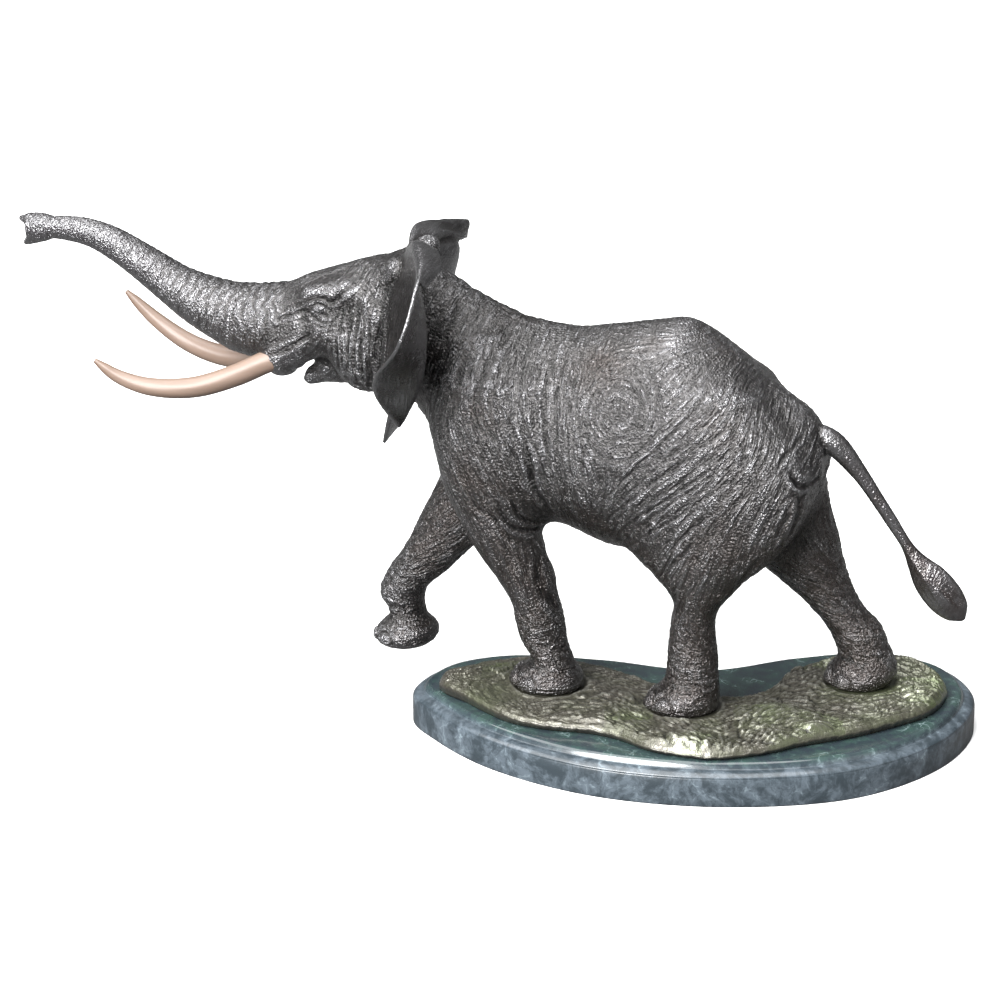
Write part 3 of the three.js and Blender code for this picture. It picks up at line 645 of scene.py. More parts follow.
# Grooves cut one by one: side (-1 left, 1 right, 0 both), width, depth, points in x and z.
# A negative depth raises a ridge.
GROOVES = [
    (0, 2.4, 2.2, [(-118, 235), (-115, 217), (-113, 202), (-108, 191), (-105, 180)]),
    (-1, 1.8, 1.8, [(-139, 187), (-137, 179), (-131, 169), (-121, 163), (-109, 162)]),
    (-1, 1.5, 1.4, [(-129, 189), (-128, 185), (-124, 174), (-115, 168), (-108, 170)]),
    (-1, 1.8, 1.2, [(-157, 186), (-154, 181), (-143, 175), (-138, 167), (-130, 158), (-121, 153)]),
    (-1, 1.5, 0.8, [(-148, 194), (-141, 187), (-135, 174)]),
    (-1, 2.6, 1.6, [(-110, 154), (-112, 143), (-113, 130), (-110, 119), (-105, 110), (-99, 101),
                    (-95, 94), (-92, 87)]),
    (-1, 1.4, -1.2, [(-96, 86), (-95, 76), (-91, 68), (-88, 61)]),
    (-1, 1.4, 1.2, [(-118, 78), (-114, 76), (-106, 76), (-98, 81)]),
    (0, 1.2, 1.2, [(-51, 171), (-35, 188), (-18, 201), (-2, 214), (13, 226), (34, 247)]),
    (0, 1.2, 1.0, [(-62, 195), (-46, 215), (-29, 233), (-7, 257), (7, 275), (15, 286)]),
    (0, 1.2, 1.1, [(-40, 165), (-24, 179), (-7, 191), (20, 215)]),
    (0, 1.1, 0.9, [(-62, 177), (-55, 187), (-47, 194), (-31, 209), (-18, 221), (1, 236)]),
    (0, 1.2, 1.0, [(-20, 143), (-12, 159), (-5, 174), (14, 193), (26, 203)]),
    (0, 1.1, 0.8, [(-58, 188), (-42, 206), (-24, 224), (1, 249)]),
    (0, 1.6, -1.2, [(66, 168), (70, 187), (74, 203), (80, 223)]),
    (0, 1.4, -1.0, [(75, 179), (78, 198), (82, 217)]),
    (0, 1.6, 1.0, [(57, 223), (66, 238), (73, 246)]),
    (0, 1.6, 1.0, [(-16, 142), (-10, 154), (0, 166), (11, 178)]),
    (-1, 1.6, 1.2, [(34, 136), (38, 145), (45, 155), (52, 163)]),
    (0, 3.4, 0.9, [(-162, 303), (-168, 284), (-173, 262), (-176, 239)]),
    (0, 3.2, 0.8, [(-139, 313), (-145, 298), (-152, 276), (-155, 257), (-151, 239)]),
    (0, 3.0, 0.9, [(-177, 338), (-181, 315), (-187, 293)]),
    (0, 1.6, 0.6, [(-108, 307), (-107, 282), (-107, 260), (-104, 238), (-101, 216)]),
    (0, 1.6, 0.5, [(-98, 312), (-98, 290), (-99, 268), (-96, 239), (-93, 209)]),
    # eye: upper and lower lid, fold of the brow, bags, tear line
    (0, 0.9, 1.2, [(-288.5, 310), (-286, 313.5), (-282, 315.6), (-276.5, 314), (-272, 309.5)]),
    (0, 0.7, 1.2, [(-287, 309.6), (-283, 309.2), (-278.5, 308.2), (-274, 306.6)]),
    (0, 2.0, 1.6, [(-294.4, 313.9), (-287, 318.1), (-279.6, 320.1), (-271, 317.9), (-262, 325.8),
                   (-253.2, 334.9)]),
    (0, 1.1, 1.2, [(-289, 307.4), (-285, 304.2), (-279.9, 302.6), (-271.2, 303.2), (-266.7, 308.3)]),
    (0, 1.0, 0.8, [(-286, 301.4), (-281, 299.6), (-275.1, 299), (-268.1, 301.8)]),
    (0, 1.2, 1.1, [(-288.6, 310.1), (-297.5, 307.2), (-306.4, 303.6), (-315.3, 298.6)]),
    # lower edge of the tusk sheath, mouth, cheek recess and wrinkles before the ear
    (0, 1.8, 1.6, [(-324.8, 271.7), (-309.9, 277.4), (-297.9, 285.6), (-288.9, 292.2)]),
    (0, 1.8, 0.8, [(-266.9, 297), (-257.6, 298.6), (-248, 298.6)]),
    (0, 1.3, 1.5, [(-247.2, 300), (-247.3, 278.8), (-247, 259.5)]),
    (0, 1.2, 1.0, [(-266.9, 293.7), (-266.6, 273.6), (-268, 262)]),
    (0, 1.1, 0.9, [(-259, 318), (-257, 306), (-257.5, 285), (-258.5, 262)]),
    (0, 1.4, 1.4, [(-241.2, 315), (-240.1, 296), (-241.9, 277.2), (-245.2, 255)]),
    (0, 1.6, 1.5, [(-233.3, 305), (-236.4, 288), (-241.1, 267.5), (-243, 258)]),
    (0, 1.2, 1.0, [(-251.5, 322), (-250, 306), (-252.5, 285), (-253, 258)]),
    # fold under the root of the tail, and creases behind the thigh
    (0, 1.8, 2.2, [(69, 228), (71.5, 222), (76, 216), (82, 213), (88, 217)]),
    (0, 1.6, -1.4, [(68, 222), (72, 215), (78, 210), (86, 211)]),
    (0, 1.5, 1.6, [(75, 209), (76.7, 197), (71.5, 182), (62.6, 167)]),
    (-1, 1.2, -1.0, [(71, 208), (72, 196), (67, 182), (58, 166)]),
]
# The toes: foot's middle x and y, its half width, nail height, angles from straight ahead.
TOES = [
    (-109, -31, 25, 47, (-62, -20, 22, 66)),
    (-4, -43, 25.5, 47, (-62, -20, 22, 64)),
    (108, 41, 25.5, 47, (-66, -24, 20, 60)),
    (-238, 26, 24.5, 45, (-62, -20, 20, 62)),
]
MAP_STEP = 3.0  # of the map of the lines
GROOVE_POINTS = 90  # along each groove


class LineMap:
    """Guides spread over a plane: at each place the angle of the lines there, and two depths."""

    def __init__(self, guides, corner, cells, reach):
        self.corner, self.cells = np.array(corner, float), np.array(cells)
        u, v = np.meshgrid(*(corner[n] + MAP_STEP * np.arange(cells[n]) for n in (0, 1)), indexing="ij")
        self.u, self.v = u, v
        total, weight = np.zeros((4, *cells)), np.full(cells, 1e-9)
        for gu, gv, angle, *depths in guides:
            share = np.exp(-((u - gu) ** 2 + (v - gv) ** 2) / reach**2) + 1e-6
            turned = 2 * math.radians(angle)
            for n, value in enumerate((math.cos(turned), math.sin(turned), *depths)):
                total[n] += share * value
            weight += share
        self.values = total / weight

    def swirled(self, u, v, radius):
        """Turns the lines round a whorl."""
        away = np.hypot(self.u - u, (self.v - v) * 0.9)
        turned = 2 * (np.arctan2(self.v - v, self.u - u) + math.pi / 2)
        share = 1 - ramp(away, 0.75 * radius, 1.35 * radius)
        for n, value in enumerate((3 * np.cos(turned), 3 * np.sin(turned), 0.7, 0.25)):
            self.values[n] += share * (value - self.values[n])
        return self

    def at(self, u, v):
        i, j = (np.stack([u, v]) - self.corner[:, None]) / MAP_STEP + 0.5
        i, j = np.clip(i.astype(int), 0, self.cells[0] - 1), np.clip(j.astype(int), 0, self.cells[1] - 1)
        return self.values[:, i, j]


LINE_MAPS = [
    LineMap(BODY_LINES + lines, (-560, 20), (240, 125), 22).swirled(*SWIRL)
    for lines in (LEFT_LINES, RIGHT_LINES)
]


def lines_at(p):
    """The doubled angle's cosine and sine, and the two depths, at points p of the elephant."""
    x, y, z = p.T
    return np.where(y < 0, LINE_MAPS[0].at(x, z), LINE_MAPS[1].at(x, z))


def grain(p, n):
    """The direction of the wrinkles at points p of a surface with normals n."""
    double_cos, double_sin, _, _ = lines_at(p)
    angle = 0.5 * np.arctan2(double_sin, double_cos)
    across = np.stack([-np.sin(angle), 0 * angle, np.cos(angle)], 1)
    return unit(np.cross(n, across))


def streaks(p, direction, size, reach, seed, steps=5):
    """Noise drawn out along a field of directions, in lines `size` apart, `reach` long either way."""
    total = noise(p / size, seed)
    for way in (-1, 1):
        q, before = p, None
        for _ in range(steps):
            ahead = direction(q)
            if before is None:
                ahead = ahead * way
            else:
                ahead = ahead * np.where((ahead * before).sum(1) < 0, -1, 1)[:, None]
            q = q + ahead * (reach / steps)
            before = ahead
            total = total + noise(q / size, seed)
    return total / total.std()


def grooves(p, n):
    """Depth of the grooves that are cut one by one."""
    total = np.zeros(len(p))
    facing = ramp(np.abs(n[:, 1]), 0.12, 0.4)
    uneven = 1 + 0.45 * noise(p / 7, 5)
    for side, width, depth, line in GROOVES:
        fine, _ = evenly([(x, 0, z) for x, z in line], GROOVE_POINTS)
        fine = fine[:, [0, 2]]
        low, high = fine.min(0) - 5 * width, fine.max(0) + 5 * width
        near = ((p[:, [0, 2]] > low) & (p[:, [0, 2]] < high)).all(1)
        if side:
            near &= p[:, 1] * side > 0
        near = np.flatnonzero(near)
        away = np.linalg.norm(p[near][:, None, [0, 2]] - fine[None], axis=2)
        nearest = away.argmin(1)
        away = away.min(1) / width
        taper = np.sqrt(np.sin(math.pi * np.clip(nearest / (GROOVE_POINTS - 1), 0.02, 0.98)))
        cut = -np.exp(-away**2) + 0.25 * np.exp(-(((away - 1.9) / 0.9) ** 2))
        total[near] += depth * cut * taper * facing[near] * uneven[near]
    return total


def trunk_rings(p):
    """Rings round the trunk, closer together towards its tip."""
    x = np.linspace(TRUNK[0][0], TRUNK[-1][0], 400)
    top, bottom, _ = along(TRUNK, x)
    middle = (top + bottom) / 2
    slope = np.gradient(middle, x)
    length = np.concatenate([[0], np.cumsum(np.hypot(np.diff(x), np.diff(middle)))])
    spacing = np.interp(length, [0, 60, 130, 160], [4.6, 5.2, 6.4, 9])
    phase = np.concatenate([[0], np.cumsum(np.diff(length) / spacing[1:])])
    at = np.clip(p[:, 0], x[0], x[-1])
    for _ in range(3):
        rise = np.interp(at, x, slope)
        ahead = (p[:, 0] - at) + (p[:, 2] - np.interp(at, x, middle)) * rise
        at = np.clip(at + ahead / (1 + rise**2), x[0], x[-1])
    wobble = 0.5 * noise(p / np.array([14, 9, 11]), 3) + 0.16 * noise(p / 5, 4)
    turn = np.interp(at, x, phase) + wobble
    off = np.abs((turn + 0.5) % 1 - 0.5)
    cut = np.sqrt(1 - (1 - 2 * off) ** 2) - 0.75
    depth = np.interp(at, [-531, -515, -480, -420, -380, -320, -296, -286],
                      [0, 0.4, 0.7, 0.9, 1.3, 1.5, 0.8, 0])
    upper = np.clip((p[:, 2] - np.interp(at, x, middle)) / 20, -1, 1)
    broken = 0.75 + 0.6 * noise(p / np.array([7, 6, 6]), 6)
    return cut * depth * (0.6 + 0.4 * upper) * broken * (1 - ramp(at, -292, -286))


def toenails(p):
    """Half-moon toenails round the front of each foot, each in a groove."""
    total = np.zeros(len(p))
    for cx, cy, radius, height, angles in TOES:
        dx, dy = p[:, 0] - cx, p[:, 1] - cy
        away = np.hypot(dx, dy)
        near = (np.abs(p[:, 2] - height) < 14) & (away < radius * 1.5)
        side = 1 if cy > 0 else -1
        for angle in angles:
            turned = np.arctan2(dy * side, -dx) - math.radians(angle)
            turned = (turned + math.pi) % (2 * math.pi) - math.pi
            r = np.hypot(turned * radius / 7.2, (p[:, 2] - height + 2) / 6.8)
            nail = 1.5 * np.sqrt(np.clip(1 - r * r, 0, 1)) - 1.1 * np.exp(-(((r - 1.16) / 0.14) ** 2))
            total += np.where(near & (r < 1.8), nail, 0)
    return total


def body_relief(p, n):
    """How far the skin stands out at points p with normals n, in millimetres."""
    _, _, fine, fold = lines_at(p)
    with_lines = lambda q: grain(q, n)
    over_lines = lambda q: np.cross(grain(q, n), n)
    wrinkles = np.minimum(np.abs(streaks(p, with_lines, 4.4, 20, 11, 6)), 1.2) - 0.6
    crossing = np.minimum(np.abs(streaks(p, over_lines, 3.8, 7, 31, 3)), 1.2) - 0.6
    folds = np.minimum(np.abs(streaks(p, with_lines, 7, 36, 41, 7)), 1.4) - 0.7
    swell = layered(p / 34, 2, 51)
    pebbles = noise(p / 2.2, 61)
    h = 0.5 * fine * wrinkles + 0.2 * crossing * fine + 0.85 * fold * folds + 0.6 * swell + 0.08 * pebbles
    on_trunk = 1 - ramp(p[:, 0], -330, -290)
    h *= 1 - 0.5 * on_trunk
    soft = np.exp(-(((p[:, 0] + 281) / 9) ** 2 + ((p[:, 2] - 310) / 6) ** 2))
    h *= 1 - 0.85 * soft  # the eye stays smooth
    return h + trunk_rings(p) * on_trunk + toenails(p) + grooves(p, n)


def tail_relief(t, angle):
    """Rings along the tail, and locks of hair on its tuft."""
    rings = 0.35 * np.abs(np.sin(t * 150 + 0.6 * np.sin(angle))) * (1 - ramp(t, 0.5, 0.62))
    wander = angle * 11 + 4 * t + 0.9 * np.sin(11 * t + 2 * angle) + 0.5 * np.sin(23 * t - 5 * angle)
    locks = 0.8 * np.abs(np.sin(wander)) * ramp(t, 0.6, 0.72) * (1 - ramp(t, 0.95, 1))
    quill = 1.3 * np.exp(-((np.minimum(angle % math.pi, math.pi - angle % math.pi) / 0.3) ** 2))
    return rings + locks + (quill - 0.5) * ramp(t, 0.62, 0.72) * (1 - ramp(t, 0.85, 0.97))


# ---- the ground and the marble ------------------------------------------------------------

# Fans of grass blades: x, y of the root, first and last angle, count, length, bend in degrees,
# width, height.
FANS = [
    (36, -74, 112, 8, 11, 60, -66, 6.0, 2.6),
    (70, -60, 95, 10, 7, 34, -50, 4.6, 1.8),
    (-22, -66, -20, -78, 8, 30, 26, 4.0, 2.0),
    (148, 6, 62, -38, 9, 38, 40, 6.4, 2.4),
    (120, 66, 70, 205, 9, 26, 26, 5.4, 2.0),
    (78, 40, 92, 190, 9, 30, -22, 5.0, 2.2),
    (-64, -14, -18, -70, 8, 34, -20, 4.2, 1.8),
    (-138, 26, 55, 120, 6, 30, 24, 5.0, 1.8),
]
# How the grass and the earth flow: x, y, angle, depth.
GROUND_LINES = [
    (-165, -7, -59, 0.7), (-159, 45, 34, 0.7), (-140, 31, 42, 1.2), (-137, -39, -47, 0.7),
    (-131, 0, -70, 0.9), (-114, -18, 8, 0.9), (-59, -22, -40, 1.3), (-79, -63, -20, 0.6),
    (-37, -82, -45, 0.9), (-16, -83, -64, 1.3), (13, -36, 34, 0.8), (39, -52, 69, 1.6),
    (63, -27, 13, 1.6), (55, -67, 37, 1.5), (101, -62, 30, 0.7), (117, -25, 12, 0.8),
    (143, -35, 28, 1.0), (167, 33, -39, 1.4), (155, -6, 12, 1.5), (81, 53, 46, 1.3),
    (39, 5, 34, 0.8), (-42, 44, -28, 0.7), (-73, 35, 35, 1.0), (127, 78, 21, 0.8),
]
# Small rocks: x, y, radius, height.
ROCKS = [
    (-4, -91, 5, 2.2), (5, -89, 3.6, 1.8), (-12, -86, 3, 1.4), (92, -63, 4, 2), (101, -59, 4.6, 2.4),
    (110, -55, 3.4, 1.8), (128, -44, 3.6, 1.6), (-52, -66, 3.6, 1.4),
]


def ground_height(x, y):
    """Height of the bare ground."""
    z = 39.4 + 0.5 * np.sin(x / 17 + y / 23) + 0.4 * np.sin(y / 9 - x / 31)
    for cx, cy, rx, ry, rise in SWELLS:
        z = z + rise * np.exp(-(((x - cx) / rx) ** 2) - ((y - cy) / ry) ** 2)
    return z


def blades(x, y):
    """Height of the grass blades over the bare ground, and how far up its blade each point is."""
    high, tint = np.zeros(x.shape), np.zeros(x.shape)
    for n, (cx, cy, first, last, count, length, bend, width, rise) in enumerate(FANS):
        for k in range(count):
            share = k / (count - 1)
            wander = math.sin(12.9 * k + 4.1 * n)
            heading = math.radians(first + (last - first) * share + 5 * wander)
            reach = length * (1 - 0.25 * abs(2 * share - 1)) * (1 + 0.14 * math.sin(7.3 * k + n))
            t = np.linspace(0, 1, 26)
            turn = heading + math.radians(bend) * t
            path = np.stack([np.cumsum(np.cos(turn)), np.cumsum(np.sin(turn))], 1) * reach / 26
            path += (cx + 3 * math.cos(heading), cy + 3 * math.sin(heading))
            low, high_corner = path.min(0) - width, path.max(0) + width
            near = (x > low[0]) & (x < high_corner[0]) & (y > low[1]) & (y < high_corner[1])
            here = np.stack([x[near], y[near]], 1)
            if not len(here):
                continue
            away = np.linalg.norm(here[:, None] - path[None], axis=2)
            at = away.argmin(1)
            half = width / 2 * np.sin(math.pi * np.clip(0.14 + 0.86 * t, 0, 1)) ** 0.6 + 0.25
            off = away.min(1) / half[at]
            lift = rise * (0.45 + 0.55 * np.sin(math.pi * np.clip(t[at] * 0.9 + 0.1, 0, 1)))
            profile = lift * (1 - 0.35 * off) * (off < 1) + 0.2 * lift * (1 - ramp(off, 0, 0.35))
            high[near] = np.maximum(high[near], profile)
            tint[near] = np.where(profile >= high[near], t[at], tint[near])
    return high, tint


def ground_points():
    """Rings of the ground patch from end to end: its top, its broken rim and its flat floor."""
    steps, across = ((390, 170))
    left, right = GROUND[0][0], GROUND[-1][0]
    s = np.linspace(0, 1, steps + 1)
    x = left + (right - left) * (s - 0.6 * np.sin(2 * math.pi * s) / (2 * math.pi))
    front, back, rim = along(GROUND, x)
    even = np.linspace(0, 1, across + 1)
    v = 0.5 * even + 0.25 * (1 - np.cos(math.pi * even))
    gx, gv = np.meshgrid(x, v, indexing="ij")
    gy = front[:, None] + (back - front)[:, None] * gv
    flat = np.stack([gx, gy, 0 * gx], -1).reshape(-1, 3)
    over = lambda values: values.reshape(gx.shape)
    flow = LineMap(GROUND_LINES, (-200, -115), (135, 85), 26)
    bent = layered(flat / 30, 2, 77)

    def direction(q):
        double_cos, double_sin, _ = flow.at(q[:, 0], q[:, 1])[:3]
        angle = 0.5 * np.arctan2(double_sin, double_cos) + 0.5 * bent
        return np.stack([np.cos(angle), np.sin(angle), 0 * angle], 1)

    depth = over(flow.at(flat[:, 0], flat[:, 1])[2])
    grass, tint = blades(gx, gy)
    clumps = over(layered(flat / 26, 3, 5))
    strands = over(np.minimum(np.abs(streaks(flat, direction, 6.5, 40, 8, 8)), 1.5))
    fibres = over(np.minimum(np.abs(streaks(flat, direction, 2.6, 14, 9)), 1.4))
    z = ground_height(gx, gy) + 1.0 * clumps + depth * (1.1 * strands - 0.9) + 0.4 * fibres
    for cx, cy, radius, rise in ROCKS:
        r = np.hypot(gx - cx, gy - cy) / radius + 0.3 * clumps
        z = z + rise * np.sqrt(np.clip(1 - r * r, 0, 1))
    z = z + grass
    edge = np.minimum.reduce([gy - front[:, None], back[:, None] - gy, gx - left, right - gx])
    rim_height = rim[:, None] + 0.9 * over(noise(flat / 8, 12)) + 0.5 * over(noise(flat / 3, 13))
    z = rim_height + (z - rim_height) * ramp(edge, -1, 9)
    for cx, cy in to_row([(a, b, 0) for a, b in SOLES])[:, :2]:
        away = np.hypot(gx - cx, gy - cy) - FOOT
        under = SOLE - GAP - 0.6
        z = under + (z - under) * ramp(away, -1, 6)
        z = z + (1.5 + 0.9 * clumps) * np.exp(-(((away - 2.5) / 2.2) ** 2))
    z = np.minimum(z, 47)
    z = z - (1 - ramp(edge, 0, 3.0)) ** 2 * 1.4
    top = np.stack([gx, gy, z], -1)
    floor = SLAB_TOP + GAP
    sides = []
    for line, way in ((top[:, -1], -1), (top[:, 0], 1)):
        rows = []
        for drop, inset in ((0.2, -0.3), (0.4, 0.3), (0.65, 1.4), (0.85, 2.6), (1.0, 3.2)):
            row = line.copy()
            rough = 0.7 * noise(row / 6, 14) + 0.5 * noise(row / 2.4, 15)
            row[:, 2] = row[:, 2] + (floor - row[:, 2]) * drop
            row[:, 1] += way * (inset + (rough if drop < 1 else 0))
            rows.append(row)
        sides.append(rows)
    middle = np.stack([x, (front + back) / 2, 0 * x + floor], 1)
    order = [top[:, ::-1][:, j] for j in range(across + 1)]
    rings = np.stack(order + sides[1] + [middle] + sides[0][::-1], 1)
    return rings, tint, across


def slab_points():
    """Rings of the marble's moulded edge from the underside up, and its polished top."""
    sides = 420
    centre, ahead = evenly(KIDNEY, sides, closed=True)
    inward = np.stack([-ahead[:, 1], ahead[:, 0]], 1)
    profile = [(1.2, 0), (0.3, 0.3), (0, 1.1), (0, 7), (0, 14), (0, 20.2), (0.35, 21.0), (0.5, 21.35),
               (0.3, 21.7), (0.9, 22.5), (1.8, 23.3), (2.9, 24.0), (4.2, 24.6), (5.8, 25.1), (7.4, 25.35),
               (8.2, 25.45), (8.35, 25.9), (8.7, 26.6), (9.3, 27.5), (9.9, 28.5), (10.7, 29.3),
               (11.8, 29.85), (13.2, 30.0), (15, 30.0)]
    rings = [
        np.column_stack([centre[:, :2] + (inset + SLAB_INSIDE) * inward, np.full(sides, z)])
        for inset, z in profile
    ]
    return ringed(np.stack(rings))


# ---- materials ----------------------------------------------------------------------------

def add(tree, kind, at=(0, 0), **values):
    """A node with its settings and its inputs' values."""
    node = tree.nodes.new("ShaderNode" + kind)
    node.location = at
    for name, value in values.items():
        if hasattr(node, name):
            setattr(node, name, value)
        else:
            node.inputs[name.replace("_", " ")].default_value = value
    return node


def ramp_node(tree, stops, factor):
    """A colour ramp with the given stops, fed by `factor`."""
    node = add(tree, "ValToRGB")
    elements = node.color_ramp.elements
    while len(elements) < len(stops):
        elements.new(0.5)
    for element, (place, colour) in zip(elements, stops):
        element.position = place
        element.color = (*colour, 1) if len(colour) == 3 else colour
    tree.links.new(factor, node.inputs[0])
    return node.outputs["Color"]


def grey(value):
    return (value, value, value)


def mixed(tree, factor, a, b):
    """Colour a turned into colour b by a factor; each may be a colour or a socket."""
    node = add(tree, "Mix", data_type="RGBA")
    for value, name in ((factor, 0), (a, 6), (b, 7)):
        if isinstance(value, bpy.types.NodeSocket):
            tree.links.new(value, node.inputs[name])
        elif name == 0:
            node.inputs[0].default_value = value
        else:
            node.inputs[name].default_value = (*value, 1)
    return node.outputs[2]


def sums(tree, operation, a, b=None, clamp=False):
    node = add(tree, "Math", operation=operation, use_clamp=clamp)
    for n, value in enumerate((a, b)):
        if value is None:
            continue
        if isinstance(value, bpy.types.NodeSocket):
            tree.links.new(value, node.inputs[n])
        else:
            node.inputs[n].default_value = value
    return node.outputs[0]


def group_of(name, inputs, outputs):
    """An empty shader node group with named sockets."""
    tree = bpy.data.node_groups.new(name, "ShaderNodeTree")
    for socket, kind, default in inputs:
        made = tree.interface.new_socket(socket, in_out="INPUT", socket_type=kind)
        if default is not None:
            made.default_value = default
    for socket, kind in outputs:
        tree.interface.new_socket(socket, in_out="OUTPUT", socket_type=kind)
    return tree, tree.nodes.new("NodeGroupInput").outputs, tree.nodes.new("NodeGroupOutput").inputs


def drawn_grain_group():
    """Noise drawn out along a direction: the hair-fine wrinkles between the modelled ones."""
    tree, given, out = group_of(
        "Drawn grain",
        [("Direction", "NodeSocketVector", None), ("Scale", "NodeSocketFloat", 700.0),
         ("Reach", "NodeSocketFloat", 0.004)],
        [("Height", "NodeSocketFloat")],
    )
    place = add(tree, "TexCoord").outputs["Object"]
    total = None
    steps = (-1.0, -0.6, -0.2, 0.2, 0.6, 1.0)
    for step in steps:
        far = sums(tree, "MULTIPLY", given["Reach"], step)
        shift = add(tree, "VectorMath", operation="SCALE")
        tree.links.new(given["Direction"], shift.inputs[0])
        tree.links.new(far, shift.inputs["Scale"])
        there = add(tree, "VectorMath", operation="ADD")
        tree.links.new(place, there.inputs[0])
        tree.links.new(shift.outputs[0], there.inputs[1])
        speck = add(tree, "TexNoise", Detail=1.0, Roughness=0.5)
        tree.links.new(there.outputs[0], speck.inputs["Vector"])
        tree.links.new(given["Scale"], speck.inputs["Scale"])
        total = speck.outputs[0] if total is None else sums(tree, "ADD", total, speck.outputs[0])
    centred = sums(tree, "SUBTRACT", sums(tree, "MULTIPLY", total, 1 / len(steps)), 0.5)
    tree.links.new(sums(tree, "MULTIPLY", sums(tree, "ABSOLUTE", centred), 10.0, clamp=True), out["Height"])
    return tree


def cast_pits_group():
    """The pebbled surface of cast bronze."""
    tree, given, out = group_of(
        "Cast pebbles",
        [("Scale", "NodeSocketFloat", 900.0)],
        [("Height", "NodeSocketFloat"), ("Speckle", "NodeSocketFloat")],
    )
    place = add(tree, "TexCoord").outputs["Object"]
    cells = add(tree, "TexVoronoi", feature="SMOOTH_F1", Smoothness=0.6)
    speck = add(tree, "TexNoise", Detail=3.0, Roughness=0.6)
    for node in (cells, speck):
        tree.links.new(place, node.inputs["Vector"])
        tree.links.new(given["Scale"], node.inputs["Scale"])
    pebble = sums(tree, "SUBTRACT", 1.0, cells.outputs["Distance"])
    tree.links.new(sums(tree, "ADD", sums(tree, "MULTIPLY", pebble, 0.7),
                        sums(tree, "MULTIPLY", speck.outputs[0], 0.5)), out["Height"])
    tree.links.new(speck.outputs[0], out["Speckle"])
    return tree


def patina_group():
    """Bronze colour: dark in the hollows, brown or green in patches, rubbed pale on the ridges."""
    colours = [("Hollow", (0.012, 0.011, 0.010, 1)), ("Skin", (0.09, 0.083, 0.078, 1)),
               ("Rubbed", (0.4, 0.39, 0.375, 1)), ("Patch", (0.11, 0.075, 0.055, 1))]
    tree, given, out = group_of(
        "Patina",
        [(name, "NodeSocketColor", colour) for name, colour in colours]
        + [("Ridge", "NodeSocketFloat", 0.5), ("Patches", "NodeSocketFloat", 0.0),
           ("Speckle", "NodeSocketFloat", 0.5)],
        [("Color", "NodeSocketColor"), ("Roughness", "NodeSocketFloat")],
    )
    place = add(tree, "TexCoord").outputs["Object"]
    cloud = add(tree, "TexNoise", Scale=38.0, Detail=4.0, Roughness=0.6)
    tree.links.new(place, cloud.inputs["Vector"])
    uneven = sums(tree, "MULTIPLY", sums(tree, "SUBTRACT", given["Speckle"], 0.5), 0.4)
    ridge = sums(tree, "ADD", given["Ridge"], uneven)
    patch = sums(tree, "MULTIPLY", given["Patches"],
                 ramp_factor(tree, cloud.outputs[0], 0.2, 0.6), clamp=True)
    skin_colour = mixed(tree, patch, given["Skin"], given["Patch"])
    low = mixed(tree, ramp_factor(tree, ridge, -0.05, 0.5), given["Hollow"], skin_colour)
    unworn = sums(tree, "SUBTRACT", 1.0, sums(tree, "MULTIPLY", patch, 0.75))
    worn = sums(tree, "MULTIPLY", ramp_factor(tree, ridge, 0.5, 1.1), unworn)
    high = mixed(tree, worn, low, given["Rubbed"])
    tree.links.new(high, out["Color"])
    rough = sums(tree, "SUBTRACT", 0.36, sums(tree, "MULTIPLY", ridge, 0.14))
    cloudy = sums(tree, "MULTIPLY", sums(tree, "SUBTRACT", cloud.outputs[0], 0.5), 0.2)
    tree.links.new(sums(tree, "ADD", rough, cloudy), out["Roughness"])
    return tree


def ramp_factor(tree, value, low, high):
    """0 below low and 1 above high."""
    node = add(tree, "MapRange", interpolation_type="SMOOTHSTEP")
    tree.links.new(value, node.inputs["Value"])
    node.inputs["From Min"].default_value = low
    node.inputs["From Max"].default_value = high
    return node.outputs["Result"]


def attribute(tree, name, output="Fac"):
    return add(tree, "Attribute", attribute_name=name).outputs[output]


def placed_group(tree, group, **links):
    """A node group placed in a material, its inputs linked or set."""
    node = tree.nodes.new("ShaderNodeGroup")
    node.node_tree = bpy.data.node_groups[group]
    for name, value in links.items():
        socket = node.inputs[name]
        if isinstance(value, bpy.types.NodeSocket):
            tree.links.new(value, socket)
        else:
            socket.default_value = value
    return node.outputs


def bump(tree, height, distance, strength=1.0, normal=None):
    node = add(tree, "Bump")
    node.inputs["Strength"].default_value = strength
    node.inputs["Distance"].default_value = distance
    tree.links.new(height, node.inputs["Height"])
    if normal is not None:
        tree.links.new(normal, node.inputs["Normal"])
    return node.outputs["Normal"]


def new_material(name, **settings):
    """A material with a Principled BSDF, its constant inputs set."""
    material = bpy.data.materials.new(name)
    material.use_nodes = True
    tree = material.node_tree
    shader = next(n for n in tree.nodes if n.type == "BSDF_PRINCIPLED")
    for socket, value in settings.items():
        shader.inputs[socket.replace("_", " ")].default_value = value
    return material, tree, shader


